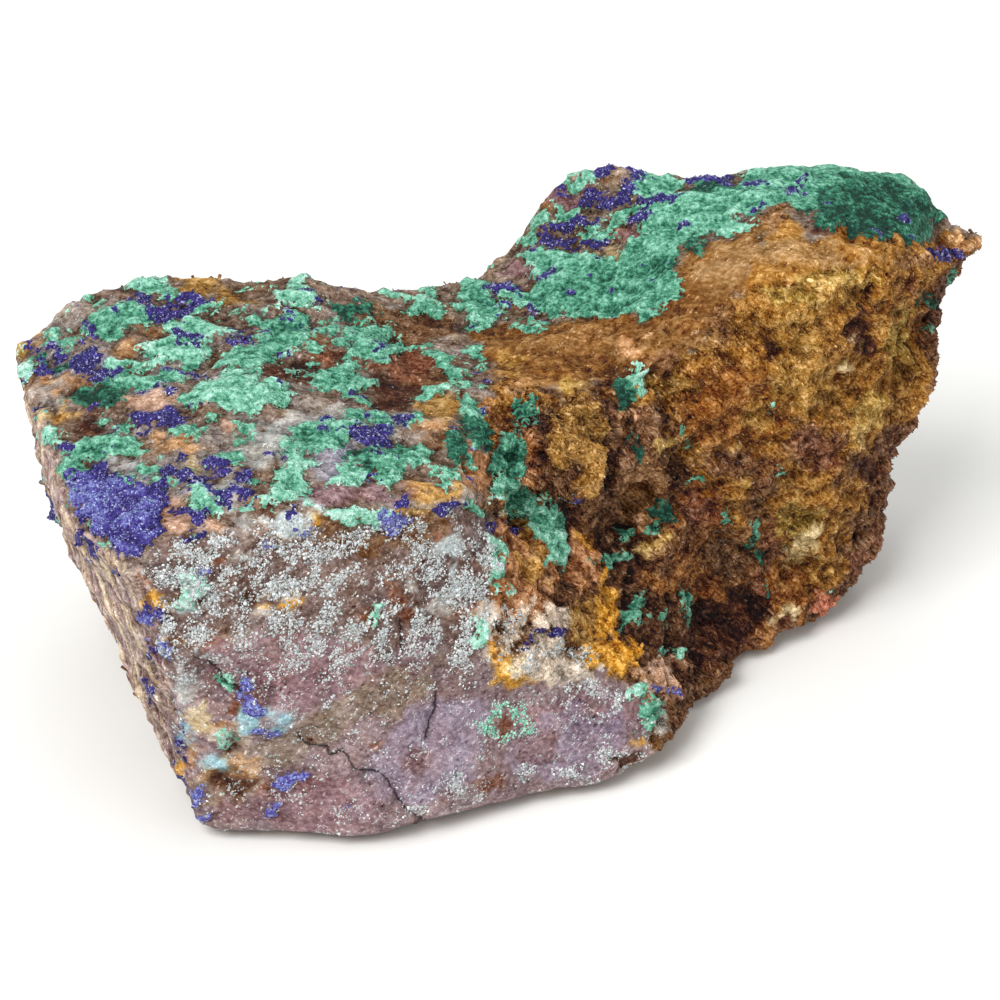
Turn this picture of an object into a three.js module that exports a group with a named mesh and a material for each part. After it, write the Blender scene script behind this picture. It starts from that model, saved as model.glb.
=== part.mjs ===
// A hand-sized block of copper ore: blue azurite and green malachite crusts on brown, iron-stained rock.
// The whole block grew and broke as one piece, so it is one solid. Millimetres, +Z up, resting on z = 0,
// with +X along the block's length and the origin under the middle of its bounding box.
//
// The block is drawn as its broken edges and the swells and hollows between them. Each is a short run of
// corners, and one skin is stretched over all of them in the order in which the middle of the block sees
// them. The skin is cut into small facets, its edges are worn round, and then every facet corner moves in
// or out by the relief that the rock has there: grains, layered steps, mineral bosses, pits and cracks.
import * as THREE from "three";
import { ConvexHull } from "three/addons/math/ConvexHull.js";
import { ImprovedNoise } from "three/addons/math/ImprovedNoise.js";
import { TessellateModifier } from "three/addons/modifiers/TessellateModifier.js";
import { mergeVertices } from "three/addons/utils/BufferGeometryUtils.js";

// Driving dimensions.
const TABLE = 37; // height of the low table at the left
const SADDLE = 36; // height of the dip between the table and the summit
const SUMMIT = 50; // height of the summit at the right
const FACET = 3.65; // longest facet edge before wear
const CUTS = 12; // enough halvings to bring every edge under FACET
const HEART = new THREE.Vector3(2, 1, 19); // the point that sees the whole surface
const GIRTH = new THREE.Vector3(54, 34, 26); // half the block's length, depth and height
const WEAR_ROUNDS = 2; // how often the edges are worn
const WEAR = 0.35; // how far each round draws a corner to the middle of its neighbours
const FOOT = 13; // radius of the level ground that it stands on, under its middle
const COARSE_GRAIN = 9; // spacing of the large lumps
const FINE_GRAIN = 4.3; // spacing of the small lumps
const SWELL = 13; // spacing of the slow rise and fall under both
const LAYER = 4; // thickness of the layers that the left-hand end shows
const LAYER_DIP = 0.35; // how steeply the layers fall towards the right
const LAYER_WAVE = 3; // how far the swell bends them

// How rough the rock is in each place: the height of its grains, and of its layered steps.
const SMOOTH = { grain: 0.3, layer: 0 };
const CRUSTED = { grain: 0.7, layer: 0.3 };
const GRANULAR = { grain: 1.7, layer: 0 };
const BROKEN = { grain: 1.1, layer: 0.5 };
const LAYERED = { grain: 0.4, layer: 1.0 };

// The rock's edges, swells and hollows, each with its roughness and its corners as [x, y, z].
const runs = [
  // Under the front: the toe of the purple face, then the foot of the golden face.
  { rock: SMOOTH, at: [[-33.5, -30.5, 3], [-32, -30.5, 1.5], [-22.5, -31.5, 2], [-14, -32.5, 1.5], [-8, -31, 2.5]] },
  { rock: SMOOTH, at: [[-5, -29.5, 2.5], [3, -25.5, 2], [10.5, -23.5, 1.5], [16, -21.5, 2.5], [19.5, -18.5, 4]] },
  { rock: BROKEN, at: [[22.5, -10.5, 5], [27, -4.5, 3], [32, 2.5, 2.5], [39, 7.5, 2.5], [44, 11, 6], [46, 13, 9]] },
  // Up the right-hand end to its thin tip.
  { rock: BROKEN, at: [[45.5, 14.5, 15], [47.5, 16.5, 20], [50, 18, 27], [51, 21, 32], [51.5, 23.5, 35]] },
  { rock: BROKEN, at: [[51, 24, 38.5], [54, 26, 38.5], [56.5, 27.5, 41], [49, 27, 45.5]] },
  // Along the back of the summit and down into the saddle.
  { rock: CRUSTED, at: [[48.5, 28, SUMMIT - 2.5], [44, 28, SUMMIT - 0.5], [39, 27.5, SUMMIT + 0.5], [32.5, 26, SUMMIT + 1]] },
  { rock: CRUSTED, at: [[27, 26, SUMMIT], [21.5, 26, SUMMIT], [17, 26, SUMMIT], [12, 27, SUMMIT + 0.5]] },
  { rock: CRUSTED, at: [[7.5, 27.5, SUMMIT - 1], [4, 27, 46], [2, 25, 43], [-0.5, 23, 41]] },
  { rock: CRUSTED, at: [[-2.5, 21.5, SADDLE + 3], [-5, 21.5, SADDLE + 0.5], [-10, 21, SADDLE + 2]] },
  // Along the back of the table to its left-hand corner.
  { rock: CRUSTED, at: [[-14, 19, TABLE + 1.5], [-18.5, 18, TABLE + 2.5], [-22, 17.5, TABLE + 4.5]] },
  { rock: CRUSTED, at: [[-26.5, 17, TABLE + 3.5], [-32, 17, TABLE + 5], [-39, 16.5, TABLE + 5.5]] },
  { rock: CRUSTED, at: [[-43, 16, TABLE + 5], [-49, 13, TABLE + 3], [-54, 9.5, TABLE]] },
  // Down the table's left-hand edge, and down the layered end below it.
  { rock: LAYERED, at: [[-51, -1, 36.5], [-47.5, -12.5, 35.5], [-46, -18, 34], [-43.5, -19, 28], [-41, -20.5, 22]] },
  { rock: LAYERED, at: [[-39.5, -22, 18], [-38.5, -23, 13], [-37, -24.5, 10], [-35.5, -25, 6]] },
  { rock: LAYERED, at: [[-38, -31, 36], [-36.5, -30.5, 31], [-35, -30.5, 26], [-33.5, -29.5, 18]] },
  { rock: LAYERED, at: [[-32, -29.5, 10], [-31.5, -28.5, 4]] },
  // The table's front edge, and the swells on its top.
  { rock: CRUSTED, at: [[-34.5, -29.5, 36.5], [-27.5, -27, 37.5], [-21, -25.5, 38], [-16, -23.5, 38]] },
  { rock: CRUSTED, at: [[-10, -23, TABLE], [-6, -21.5, 36.5], [-2, -20, 35.5]] },
  { rock: CRUSTED, at: [[-43, -7, 37.5], [-32.5, -5.5, 39], [-27, -7, 40], [-17.5, -13.5, 39], [-10.5, -3.5, 38]] },
  { rock: CRUSTED, at: [[-35.5, -18.5, 37.5], [-23.5, -18, 39.5], [-12, -17, 38.5], [-6, -9.5, 38], [-4.5, -15, TABLE]] },
  { rock: CRUSTED, at: [[-41, 5.5, 40], [-29, 4.5, 40.5], [-18.5, 3.5, 40], [-9, 6, 38], [-10, 14, 37.5]] },
  // The purple front face, a nearly flat break, and the low slab at its right.
  { rock: SMOOTH, at: [[-32, -32.5, 26.5], [-20, -29, 25], [-8, -25.5, 25]] },
  { rock: SMOOTH, at: [[-26.5, -32, 15.5], [-16.5, -29.5, 15.5], [-5, -26, 15]] },
  { rock: SMOOTH, at: [[0, -24, 19], [6.5, -21.5, 13], [13, -19.5, 10.5], [18, -15.5, 9]] },
  // The gully at the table's right: its left wall, and its floor from the top down.
  { rock: BROKEN, at: [[-1, -9, TABLE], [-1, -12.5, 34.5], [-1, -16, 32], [0, -18.5, 29]] },
  { rock: BROKEN, at: [[2, -4.5, 36.5], [1.5, -8, 33], [2, -9.5, 29], [3.5, -11.5, 25.5], [3, -18, 25]] },
  // The granular lump in the gully, with the hollow under it and the smooth groove behind it.
  { rock: GRANULAR, at: [[5, -4.5, 37], [9, -4, 36.5], [5, -8.5, 35.5], [9, -10, 34], [11.5, -6.5, 32]] },
  { rock: GRANULAR, at: [[5, -10.5, 31], [9, -10.5, 30], [12, -5.5, 28], [7.5, -8.5, 25.5]] },
  { rock: SMOOTH, at: [[12.5, -0.5, 37], [14, 0.5, 31.5], [14.5, 0, 26], [13, -4, 22]] },
  // The rough ground below the gully, down to the slab and to the dark hollow.
  { rock: BROKEN, at: [[2, -20.5, 21], [6.5, -17, 20.5], [10.5, -13, 18.5], [12, -15.5, 14.5], [15.5, -8, 15]] },
  { rock: BROKEN, at: [[17, -12, 11], [20, -3, 12], [21.5, -5, 7.5], [25.5, 3.5, 12], [27, 4.5, 6]] },
  // The brown shoulder above the gully, with its lip and its upper slope.
  { rock: SMOOTH, at: [[0, -1.5, 38], [6.5, -3.5, 38.5], [10.5, -3, 38.5], [15, -1, 39.5], [17.5, 1.5, 41.5]] },
  { rock: SMOOTH, at: [[-2, 4, 37.5], [5, 5, 39.5], [12, 5, 41], [18, 5.5, 43]] },
  { rock: SMOOTH, at: [[-3, 12, 37.5], [4, 11, 39]] },
  // The golden lobe at the right, from its crest down its swollen face.
  { rock: GRANULAR, at: [[22, 3, 44], [28, 3.5, 46], [35.5, 6.5, 48], [41.5, 9, 47.5], [46, 14, 45]] },
  { rock: GRANULAR, at: [[18, -1.5, 36.5], [26, 1, 36], [32.5, 3.5, 37], [39.5, 7, 37], [45, 11.5, 38]] },
  { rock: GRANULAR, at: [[18, -2, 30], [25, 1, 27], [32.5, 3.5, 28], [39, 7, 28], [44, 12, 29]] },
  { rock: GRANULAR, at: [[18.5, -1.5, 21.5], [24, 1.5, 19], [31, 4.5, 19], [38, 7.5, 20]] },
  { rock: GRANULAR, at: [[33, 7, 9.5], [39.5, 9.5, 12.5]] },
  // The green slope that climbs from the saddle to the summit.
  { rock: CRUSTED, at: [[1.5, 17.5, 38.5], [7, 13, 40], [11.5, 17, 42.5], [14.5, 12, 42], [20, 12.5, 46]] },
  { rock: CRUSTED, at: [[7, 21, 43.5], [14, 21, 47], [22, 18.5, 49], [30.5, 18, SUMMIT + 0.5]] },
  { rock: CRUSTED, at: [[25, 10, 48], [32, 11.5, 49.5], [39, 17.5, SUMMIT], [44.5, 20.5, 48.5]] },
  // The back of the block, half way up and lower down.
  { rock: BROKEN, at: [[50, 32, 33], [37, 34, 35], [22, 33, 37], [9, 34, 33], [-2, 28, 27], [-12, 26, 24]] },
  { rock: BROKEN, at: [[-24, 24, 28], [-35, 25, 27], [-46, 21, 27], [-52, 12, 26.5]] },
  { rock: BROKEN, at: [[46, 32, 15], [32, 36, 14], [16, 36, 16], [1, 31, 10], [-14, 29, 12], [-28, 28, 9]] },
  { rock: BROKEN, at: [[-40, 24, 12], [-47, 14, 13]] },
  // The hidden left-hand end.
  { rock: LAYERED, at: [[-50, 1, 25], [-47, -9, 23], [-45, 2, 12], [-41.5, -11, 11]] },
  // The foot that it stands on, all round and in the middle.
  { rock: BROKEN, at: [[-29, -26.5, 0], [-21, -28.5, 0], [-13, -28.5, 0], [-6, -26, 0], [4, -21.5, 0], [13, -18, 0]] },
  { rock: BROKEN, at: [[19, -9, 0], [25, 0, 0], [33, 8.5, 0], [39, 14, 0], [42, 22, 0], [39, 30, 0], [25, 32, 0]] },
  { rock: BROKEN, at: [[8, 32, 0], [-8, 28, 0], [-24, 26, 0], [-36, 21, 0], [-41, 10, 0], [-38, -5, 0], [-33, -17, 0]] },
  { rock: BROKEN, at: [[-18, -2, 0], [3, 5, 0], [22, 16, 0]] },
];

// Single forms too small for the runs, each along a line from one place to another: how far it reaches to
// its sides, and how high it stands there. What is cut into the rock has a height below zero.
const marks = [
  { from: [-29, -6, 40], to: [-25, -6, 40], reach: 4.5, height: 1.1 }, // the oval boss on the table
  { from: [-24, 12, 41], to: [-20, 13, 41], reach: 4, height: 0.8 }, // the bump on its back edge
  { from: [-43, 9, 41], to: [-36, 11, 41], reach: 5, height: 0.7 }, // the swell at its left-hand corner
  { from: [-15, -12, 38], to: [-8, -11, 38], reach: 4, height: 0.7 }, // the swell at its right-hand edge
  { from: [1, -5, 37], to: [2, -10, 28], reach: 3.5, height: -1.6 }, // the gully
  { from: [2, -10, 28], to: [7, -13, 20], reach: 3.5, height: -1.1 }, // the gully's lower end
  { from: [6.5, -7, 35.5], to: [9, -9.5, 31.5], reach: 5, height: 1.8 }, // the granular lump
  { from: [13, -2, 36], to: [15, -2, 24], reach: 3.5, height: -1.8 }, // the smooth groove behind it
  { from: [17.5, -3, 31.5], to: [17.5, -3, 30.5], reach: 3.5, height: 1.5 }, // the knob at the lobe's edge
  { from: [17.5, -3, 22], to: [18, -3, 20], reach: 3.5, height: 1.3 }, // the ledge below the knob
  { from: [40, 7.5, 44], to: [41, 8, 42], reach: 4, height: -2 }, // three pits in the golden lobe
  { from: [28, 2, 42], to: [30, 2, 40], reach: 4, height: -1.7 },
  { from: [38, 7, 36], to: [39, 7, 32], reach: 4.5, height: -1.7 },
  { from: [39, 6.5, 29], to: [36, 8, 10], reach: 4, height: 1.2 }, // the pale ridge down its right
  { from: [44, 12, 42], to: [46.5, 17, 16], reach: 3, height: -1.8 }, // the seam that parts the dark end
  { from: [24, -1, 9], to: [28, 0, 5], reach: 6, height: -2.5 }, // the dark hollow at its foot
  { from: [-20, -30, 14], to: [-9, -28, 4], reach: 2.5, height: -0.8 }, // three cracks in the purple face
  { from: [-6.5, -26, 22], to: [-7, -27, 8], reach: 2.5, height: -0.6 },
  { from: [-33, -31, 30], to: [-28, -31, 19], reach: 2.5, height: -0.6 },
  { from: [-42, 25, 19], to: [-4, 30, 20], reach: 4, height: 1.6 }, // the ledge along the back
  { from: [2, 34, 26], to: [22, 36, 22], reach: 6, height: -2 }, // the hollow at the back
  { from: [30, 35, 24], to: [46, 33, 26], reach: 4, height: 1.6 }, // the ledge at the back of the summit
];

// Stretches one closed skin over the corners. Each corner's roughness rides along as its uv pair.
function skin() {
  const corners = runs.flatMap(({ rock, at }) =>
    at.map(([x, y, z]) => ({ place: new THREE.Vector3(x, y, z), rock })),
  );
  const cornerSeen = new Map();
  for (const corner of corners) {
    cornerSeen.set(corner.place.clone().sub(HEART).divide(GIRTH).normalize(), corner);
  }
  const position = [];
  const roughness = [];
  for (const face of new ConvexHull().setFromPoints([...cornerSeen.keys()]).faces) {
    let edge = face.edge;
    do {
      const { place, rock } = cornerSeen.get(edge.head().point);
      position.push(...place.toArray());
      roughness.push(rock.grain, rock.layer);
      edge = edge.next;
    } while (edge !== face.edge);
  }
  return new THREE.BufferGeometry()
    .setAttribute("position", new THREE.Float32BufferAttribute(position, 3))
    .setAttribute("uv", new THREE.Float32BufferAttribute(roughness, 2));
}

// Cuts the skin into facets no longer than FACET, with one vertex wherever facets meet.
function faceted(coarse) {
  return mergeVertices(new TessellateModifier(FACET, CUTS).modify(coarse), 1e-3);
}

// Wears the edges round: each round draws every vertex towards the middle of its neighbours.
function worn(geometry) {
  const { position, uv } = geometry.attributes;
  const corners = geometry.index.array;
  for (let round = 0; round < WEAR_ROUNDS; round++) {
    for (const attribute of [position, uv]) {
      const width = attribute.itemSize;
      const sum = new Float64Array(attribute.array.length);
      const count = new Float64Array(attribute.count);
      for (let i = 0; i < corners.length; i++) {
        const next = corners[i % 3 === 2 ? i - 2 : i + 1];
        count[corners[i]] += 1;
        for (let k = 0; k < width; k++) {
          sum[width * corners[i] + k] += attribute.array[width * next + k];
        }
      }
      for (let i = 0; i < attribute.array.length; i++) {
        attribute.array[i] += WEAR * (sum[i] / count[Math.floor(i / width)] - attribute.array[i]);
      }
    }
  }
  return geometry;
}

const noise = new ImprovedNoise();

// Rounded lumps about one grain across, from about 0 in the gaps between them to 1 at their tops.
function lumps(p, size) {
  return 1 - 2 * Math.abs(noise.noise(p.x / size, p.y / size, p.z / size));
}

// How high the marks stand at a place. A mark's sides slope off smoothly to nothing at its reach.
function marked(p) {
  let height = 0;
  for (const mark of marks) {
    const line = new THREE.Line3(new THREE.Vector3(...mark.from), new THREE.Vector3(...mark.to));
    const away = line.closestPointToPoint(p, true, new THREE.Vector3()).distanceTo(p);
    height += mark.height * (1 - THREE.MathUtils.smoothstep(away, 0, mark.reach));
  }
  return height;
}

// How far the surface stands out at a place with the given grain height and layered step height.
function relief(p, grain, layer) {
  const coarse = lumps(p, COARSE_GRAIN);
  const fine = lumps(new THREE.Vector3(p.z, p.x, p.y), FINE_GRAIN);
  const swell = noise.noise(p.x / SWELL, p.y / SWELL, p.z / SWELL);
  const depth = (p.z + LAYER_DIP * p.x + LAYER_WAVE * swell) / LAYER;
  const step = depth - Math.floor(depth) - 0.5;
  return grain * (0.55 * coarse + 0.35 * fine + 0.6 * swell - 0.35) + layer * step;
}

// Moves every vertex out or in by the relief, and keeps the foot flat and level.
function weathered(geometry) {
  geometry.computeVertexNormals();
  const { position, normal, uv } = geometry.attributes;
  const place = new THREE.Vector3();
  const out = new THREE.Vector3();
  const moved = new Float32Array(position.array.length);
  for (let i = 0; i < position.count; i++) {
    place.fromBufferAttribute(position, i);
    out.fromBufferAttribute(normal, i);
    place.addScaledVector(out, relief(place, uv.getX(i), uv.getY(i)) + marked(place));
    const underfoot = Math.hypot(place.x, place.y) < FOOT && place.z < SADDLE / 2;
    place.z = underfoot ? 0 : Math.max(place.z, 0);
    place.toArray(moved, 3 * i);
  }
  return new THREE.BufferGeometry()
    .setAttribute("position", new THREE.BufferAttribute(moved, 3))
    .setIndex(geometry.index);
}

// Stands the block on z = 0 with the origin under the middle of its bounding box.
function stood(geometry) {
  geometry.computeBoundingBox();
  const middle = geometry.boundingBox.getCenter(new THREE.Vector3());
  return geometry.translate(-middle.x, -middle.y, -geometry.boundingBox.min.z);
}

const rock = new THREE.Mesh(
  stood(weathered(worn(faceted(skin())))),
  new THREE.MeshStandardMaterial({ color: 0x8a6a4a, roughness: 0.9, metalness: 0 }),
);
rock.name = "azurite_rock";

const block = new THREE.Group();
block.add(rock);
export default block;
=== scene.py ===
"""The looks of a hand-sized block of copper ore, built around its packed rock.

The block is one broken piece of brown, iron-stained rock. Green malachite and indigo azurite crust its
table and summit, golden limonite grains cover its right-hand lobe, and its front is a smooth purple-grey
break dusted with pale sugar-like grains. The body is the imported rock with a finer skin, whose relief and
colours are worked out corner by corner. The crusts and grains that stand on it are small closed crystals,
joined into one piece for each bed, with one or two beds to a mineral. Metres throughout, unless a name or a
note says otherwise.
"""

import logging
import math
from dataclasses import dataclass
from enum import Enum
from typing import Sequence

import bpy
import numpy as np
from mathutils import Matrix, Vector, noise
from mathutils.bvhtree import BVHTree


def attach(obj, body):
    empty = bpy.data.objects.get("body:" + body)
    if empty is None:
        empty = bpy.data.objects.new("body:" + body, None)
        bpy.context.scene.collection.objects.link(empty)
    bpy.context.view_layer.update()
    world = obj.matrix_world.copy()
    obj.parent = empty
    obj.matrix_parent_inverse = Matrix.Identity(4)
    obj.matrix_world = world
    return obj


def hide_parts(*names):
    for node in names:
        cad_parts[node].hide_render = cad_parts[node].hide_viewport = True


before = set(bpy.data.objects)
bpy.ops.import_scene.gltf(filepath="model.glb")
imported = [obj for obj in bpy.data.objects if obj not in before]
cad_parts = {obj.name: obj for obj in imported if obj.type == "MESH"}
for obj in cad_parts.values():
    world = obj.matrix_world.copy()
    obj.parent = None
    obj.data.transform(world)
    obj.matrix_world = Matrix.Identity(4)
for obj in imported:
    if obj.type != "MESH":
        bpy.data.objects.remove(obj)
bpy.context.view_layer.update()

LOG = logging.getLogger("copper_ore")
MM = 0.001
ROCK_NODE = "azurite_rock"

Array = np.ndarray
Piece = bpy.types.Object
Material = bpy.types.Material
Tree = bpy.types.NodeTree
Node = bpy.types.Node
Socket = bpy.types.NodeSocket
Value = float | Socket
Items = bpy.types.bpy_prop_collection
Triple = tuple[float, float, float]
Colour = Triple  # red, green and blue from 0 to 1, as they are displayed
Pixel = tuple[int, int]  # across and down
Spot = tuple[int, ...]  # an ellipse: across, down, half width, half height, and a turn in degrees or none
Outline = Sequence[Pixel]
Spots = Sequence[Spot]
Stops = Sequence[tuple[float, Colour]]  # a run of colours, each with its place from 0 to 1


# ---------- viewpoint


@dataclass(frozen=True)
class Viewpoint:
    """Where the block is seen from. The outlines and spots give places as pixels of this view."""

    elevation: float = 33.0  # degrees above the floor
    lens: float = 100.0  # millimetres
    sensor: float = 36.0  # millimetres
    distance: float = 305 * MM
    aim: Triple = (-0.96 * MM, -2.37 * MM, 23 * MM)
    frame_width: int = 1000  # pixels, and as many down

    def axes(self) -> Array:
        """Finds the view's directions.

        Returns:
            Across, up and forward, one to a row.
        """
        slope = math.radians(self.elevation)
        up = (0.0, math.sin(slope), math.cos(slope))
        forward = (0.0, math.cos(slope), -math.sin(slope))
        return np.array([(1.0, 0.0, 0.0), up, forward])

    def eye(self) -> Array:
        """The camera's place."""
        return np.array(self.aim) - self.distance * self.axes()[2]

    def pixels_per_slope(self) -> float:
        """How many pixels a ray moves for each unit that it leans away from the view's middle."""
        return self.frame_width * self.lens / self.sensor

    def pixel_size(self) -> float:
        """How much of the block one pixel covers, in millimetres."""
        return self.distance / MM / self.pixels_per_slope()

    def see(self, points: Array) -> Array:
        """Where points appear.

        Args:
            points: Places in the frame, one to a row.

        Returns:
            Pixels across and down, and the depth in millimetres, one point to a row.
        """
        across, up, forward = ((points - self.eye()) @ self.axes().T).T
        reach = self.pixels_per_slope()
        middle = self.frame_width / 2
        pixels = middle + reach * across / forward, middle - reach * up / forward
        return np.stack([*pixels, forward / MM], axis=1)

    def make_camera(self) -> None:
        """Adds the camera and makes it the scene's."""
        tilt = (math.radians(90 - self.elevation), 0, 0)
        bpy.ops.object.camera_add(location=self.eye(), rotation=tilt)
        camera = bpy.context.object
        camera.name = "camera"
        camera.data.lens = self.lens
        camera.data.sensor_width = self.sensor
        bpy.context.scene.camera = camera


# ---------- colours and places


def linear(srgb: Colour) -> Array:
    """A display colour as the linear colour that the shaders read."""
    value = np.array(srgb)
    return np.where(value <= 0.04045, value / 12.92, ((value + 0.055) / 1.055) ** 2.4)


class Ground(Enum):
    """The colours of the bare rock, as they are displayed in daylight. Two of them also stand for painted
    shade, as noted.
    """

    MATRIX = (0.49, 0.42, 0.37)
    SLOPE = (0.47, 0.40, 0.34)
    SHOULDER = (0.45, 0.30, 0.135)
    LOBE = (0.55, 0.375, 0.15)
    LOWER = (0.345, 0.22, 0.12)
    # a darker brown: the rock's own, and painted shade where the right-hand side turns away from the light
    EDGE = (0.40, 0.26, 0.16)
    PURPLE = (0.485, 0.405, 0.41)
    STRATA = (0.60, 0.52, 0.48)
    BACK = (0.45, 0.34, 0.25)
    GOLD = (0.62, 0.46, 0.22)
    OCHRE = (0.86, 0.61, 0.20)
    YELLOW = (0.68, 0.55, 0.29)
    CREAM = (0.74, 0.66, 0.50)
    TAN = (0.66, 0.49, 0.33)
    PINK = (0.72, 0.57, 0.48)
    GREY = (0.64, 0.63, 0.61)
    BROWN = (0.42, 0.29, 0.18)
    RED = (0.43, 0.26, 0.18)
    # dark brown; on the seen side its spots are also painted shade in pits, gaps and under the overhang
    DARK = (0.30, 0.15, 0.07)
    MAUVE = (0.51, 0.395, 0.41)
    LAVENDER = (0.525, 0.465, 0.52)
    TAUPE = (0.50, 0.43, 0.37)
    RUST = (0.70, 0.49, 0.33)
    UMBER = (0.40, 0.32, 0.27)
    ASH = (0.56, 0.54, 0.53)
    CORAL = (0.78, 0.47, 0.37)
    OLIVE = (0.56, 0.45, 0.20)
    WHITE = (0.72, 0.79, 0.80)
    LILAC = (0.57, 0.55, 0.60)
    LEDGE = (0.57, 0.43, 0.27)
    CYAN = (0.56, 0.74, 0.78)
    IVORY = (0.82, 0.76, 0.69)
    SIENNA = (0.51, 0.315, 0.125)
    PLUM = (0.42, 0.32, 0.33)
    FACET = (0.34, 0.26, 0.205)
    RUSSET = (0.35, 0.215, 0.11)

    def shade(self) -> Array:
        """The colour as an array."""
        return np.array(self.value)


# The parts of the visible side, as outlines in the viewpoint's pixels.
PURPLE_FACE: Outline = (
    (146, 552), (200, 534), (240, 533), (262, 545), (300, 536), (345, 531), (430, 522), (480, 516),
    (496, 530), (499, 570), (492, 640), (490, 672), (515, 684), (560, 682), (600, 668), (640, 684),
    (652, 715), (655, 745), (645, 790), (560, 800), (430, 850), (330, 850), (180, 850), (172, 760),
    (165, 720), (170, 680), (158, 650),
)
LAYERED_END: Outline = (
    (0, 340), (26, 392), (42, 435), (70, 485), (76, 512), (98, 530), (118, 555), (148, 562), (152, 605),
    (160, 650), (172, 690), (168, 725), (176, 765), (186, 805), (196, 850), (120, 850), (0, 500),
)
GREEN_SLOPE: Outline = (
    (440, 290), (468, 330), (500, 326), (545, 326), (560, 319), (600, 315), (640, 314), (668, 300),
    (672, 285), (680, 262), (695, 251), (714, 241), (733, 233), (749, 226), (743, 220), (777, 212),
    (787, 210), (794, 218), (798, 228), (810, 236), (825, 236), (802, 222), (817, 214), (837, 220),
    (848, 231), (875, 238), (898, 248), (921, 246), (946, 236), (940, 140), (560, 140), (500, 200),
)
GOLDEN_FACE: Outline = (
    (492, 380), (540, 392), (600, 392), (660, 372), (715, 330), (740, 290), (760, 226), (777, 212),
    (787, 210), (798, 228), (825, 236), (837, 220), (875, 238), (921, 246), (946, 236), (1000, 230),
    (1000, 500), (880, 640), (700, 760), (652, 745), (640, 684), (600, 668), (515, 684), (490, 672),
    (499, 570), (496, 500), (486, 440),
)
SHOULDER: Outline = (
    (468, 330), (500, 326), (560, 319), (640, 314), (668, 300), (680, 262), (720, 240), (760, 226),
    (740, 290), (715, 330), (660, 372), (600, 392), (540, 392), (492, 380), (486, 350),
)
LOWER_GROUND: Outline = (
    (492, 440), (545, 400), (600, 395), (660, 400), (690, 470), (700, 520), (760, 560), (800, 600),
    (870, 560), (900, 560), (900, 640), (700, 760), (652, 745), (652, 715), (640, 684), (600, 668),
    (515, 684), (490, 672), (492, 640), (499, 570), (496, 500),
)
LOBE_LUMP: Outline = ((545, 405), (600, 402), (612, 440), (606, 490), (560, 498), (545, 470))
# The right-hand band, where the face turns away from the light: its darker brown is partly painted shade.
RIGHT_EDGE: Outline = (
    (952, 250), (925, 300), (925, 345), (935, 400), (900, 425), (862, 465), (872, 500), (850, 600),
    (800, 640), (760, 660), (720, 700), (1000, 660), (1000, 250),
)
SUGARED: Outline = (
    (158, 548), (262, 538), (310, 548), (345, 542), (400, 552), (440, 545), (495, 545), (490, 600),
    (462, 640), (425, 636), (400, 650), (350, 648), (290, 640), (250, 626), (215, 620), (190, 640),
    (172, 640), (160, 590),
)
INDIGO_CORNER: Outline = (
    (66, 470), (74, 508), (94, 526), (112, 548), (128, 557), (146, 550), (152, 537), (168, 526),
    (170, 508), (152, 488), (120, 478), (90, 466),
)
GREEN_SUMMIT: Outline = (
    (560, 300), (600, 262), (628, 236), (650, 212), (690, 188), (735, 178), (765, 150), (860, 150),
    (935, 176), (942, 232), (921, 244), (898, 246), (875, 236), (848, 229), (837, 218), (794, 214),
    (787, 208), (743, 218), (733, 231), (714, 239), (695, 249), (680, 258), (670, 284), (664, 298),
    (640, 310), (600, 312), (560, 316), (500, 322), (470, 326), (458, 300), (500, 300), (540, 316),
)
TOP_LEDGE: Outline = (
    (676, 296), (690, 256), (740, 232), (790, 222), (850, 240), (900, 252), (905, 268), (850, 270),
    (790, 276), (740, 290), (712, 306),
)

# The directions in which the table's ledges, the lobe's fibres and the layers of the left-hand end run.
TABLE_GRAIN = (0.94, -0.34, 0.0)
LOBE_GRAIN = (0.70, -0.25, -0.65)
END_GRAIN = (0.36, -0.23, -0.9)

# Cracks and seams, as runs of pixels.
CRACKS: Sequence[Outline] = (
    ((197, 660), (214, 668), (226, 682), (240, 692)),
    ((300, 739), (305, 745), (326, 748), (329, 757), (340, 751), (348, 761), (359, 771), (376, 772),
     (389, 781)),
    ((389, 781), (396, 796), (409, 812), (422, 822)),
    ((401, 622), (401, 649)),
    ((437, 694), (433, 714), (428, 736)),
    ((915, 327), (911, 346), (917, 365)),
)

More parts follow.
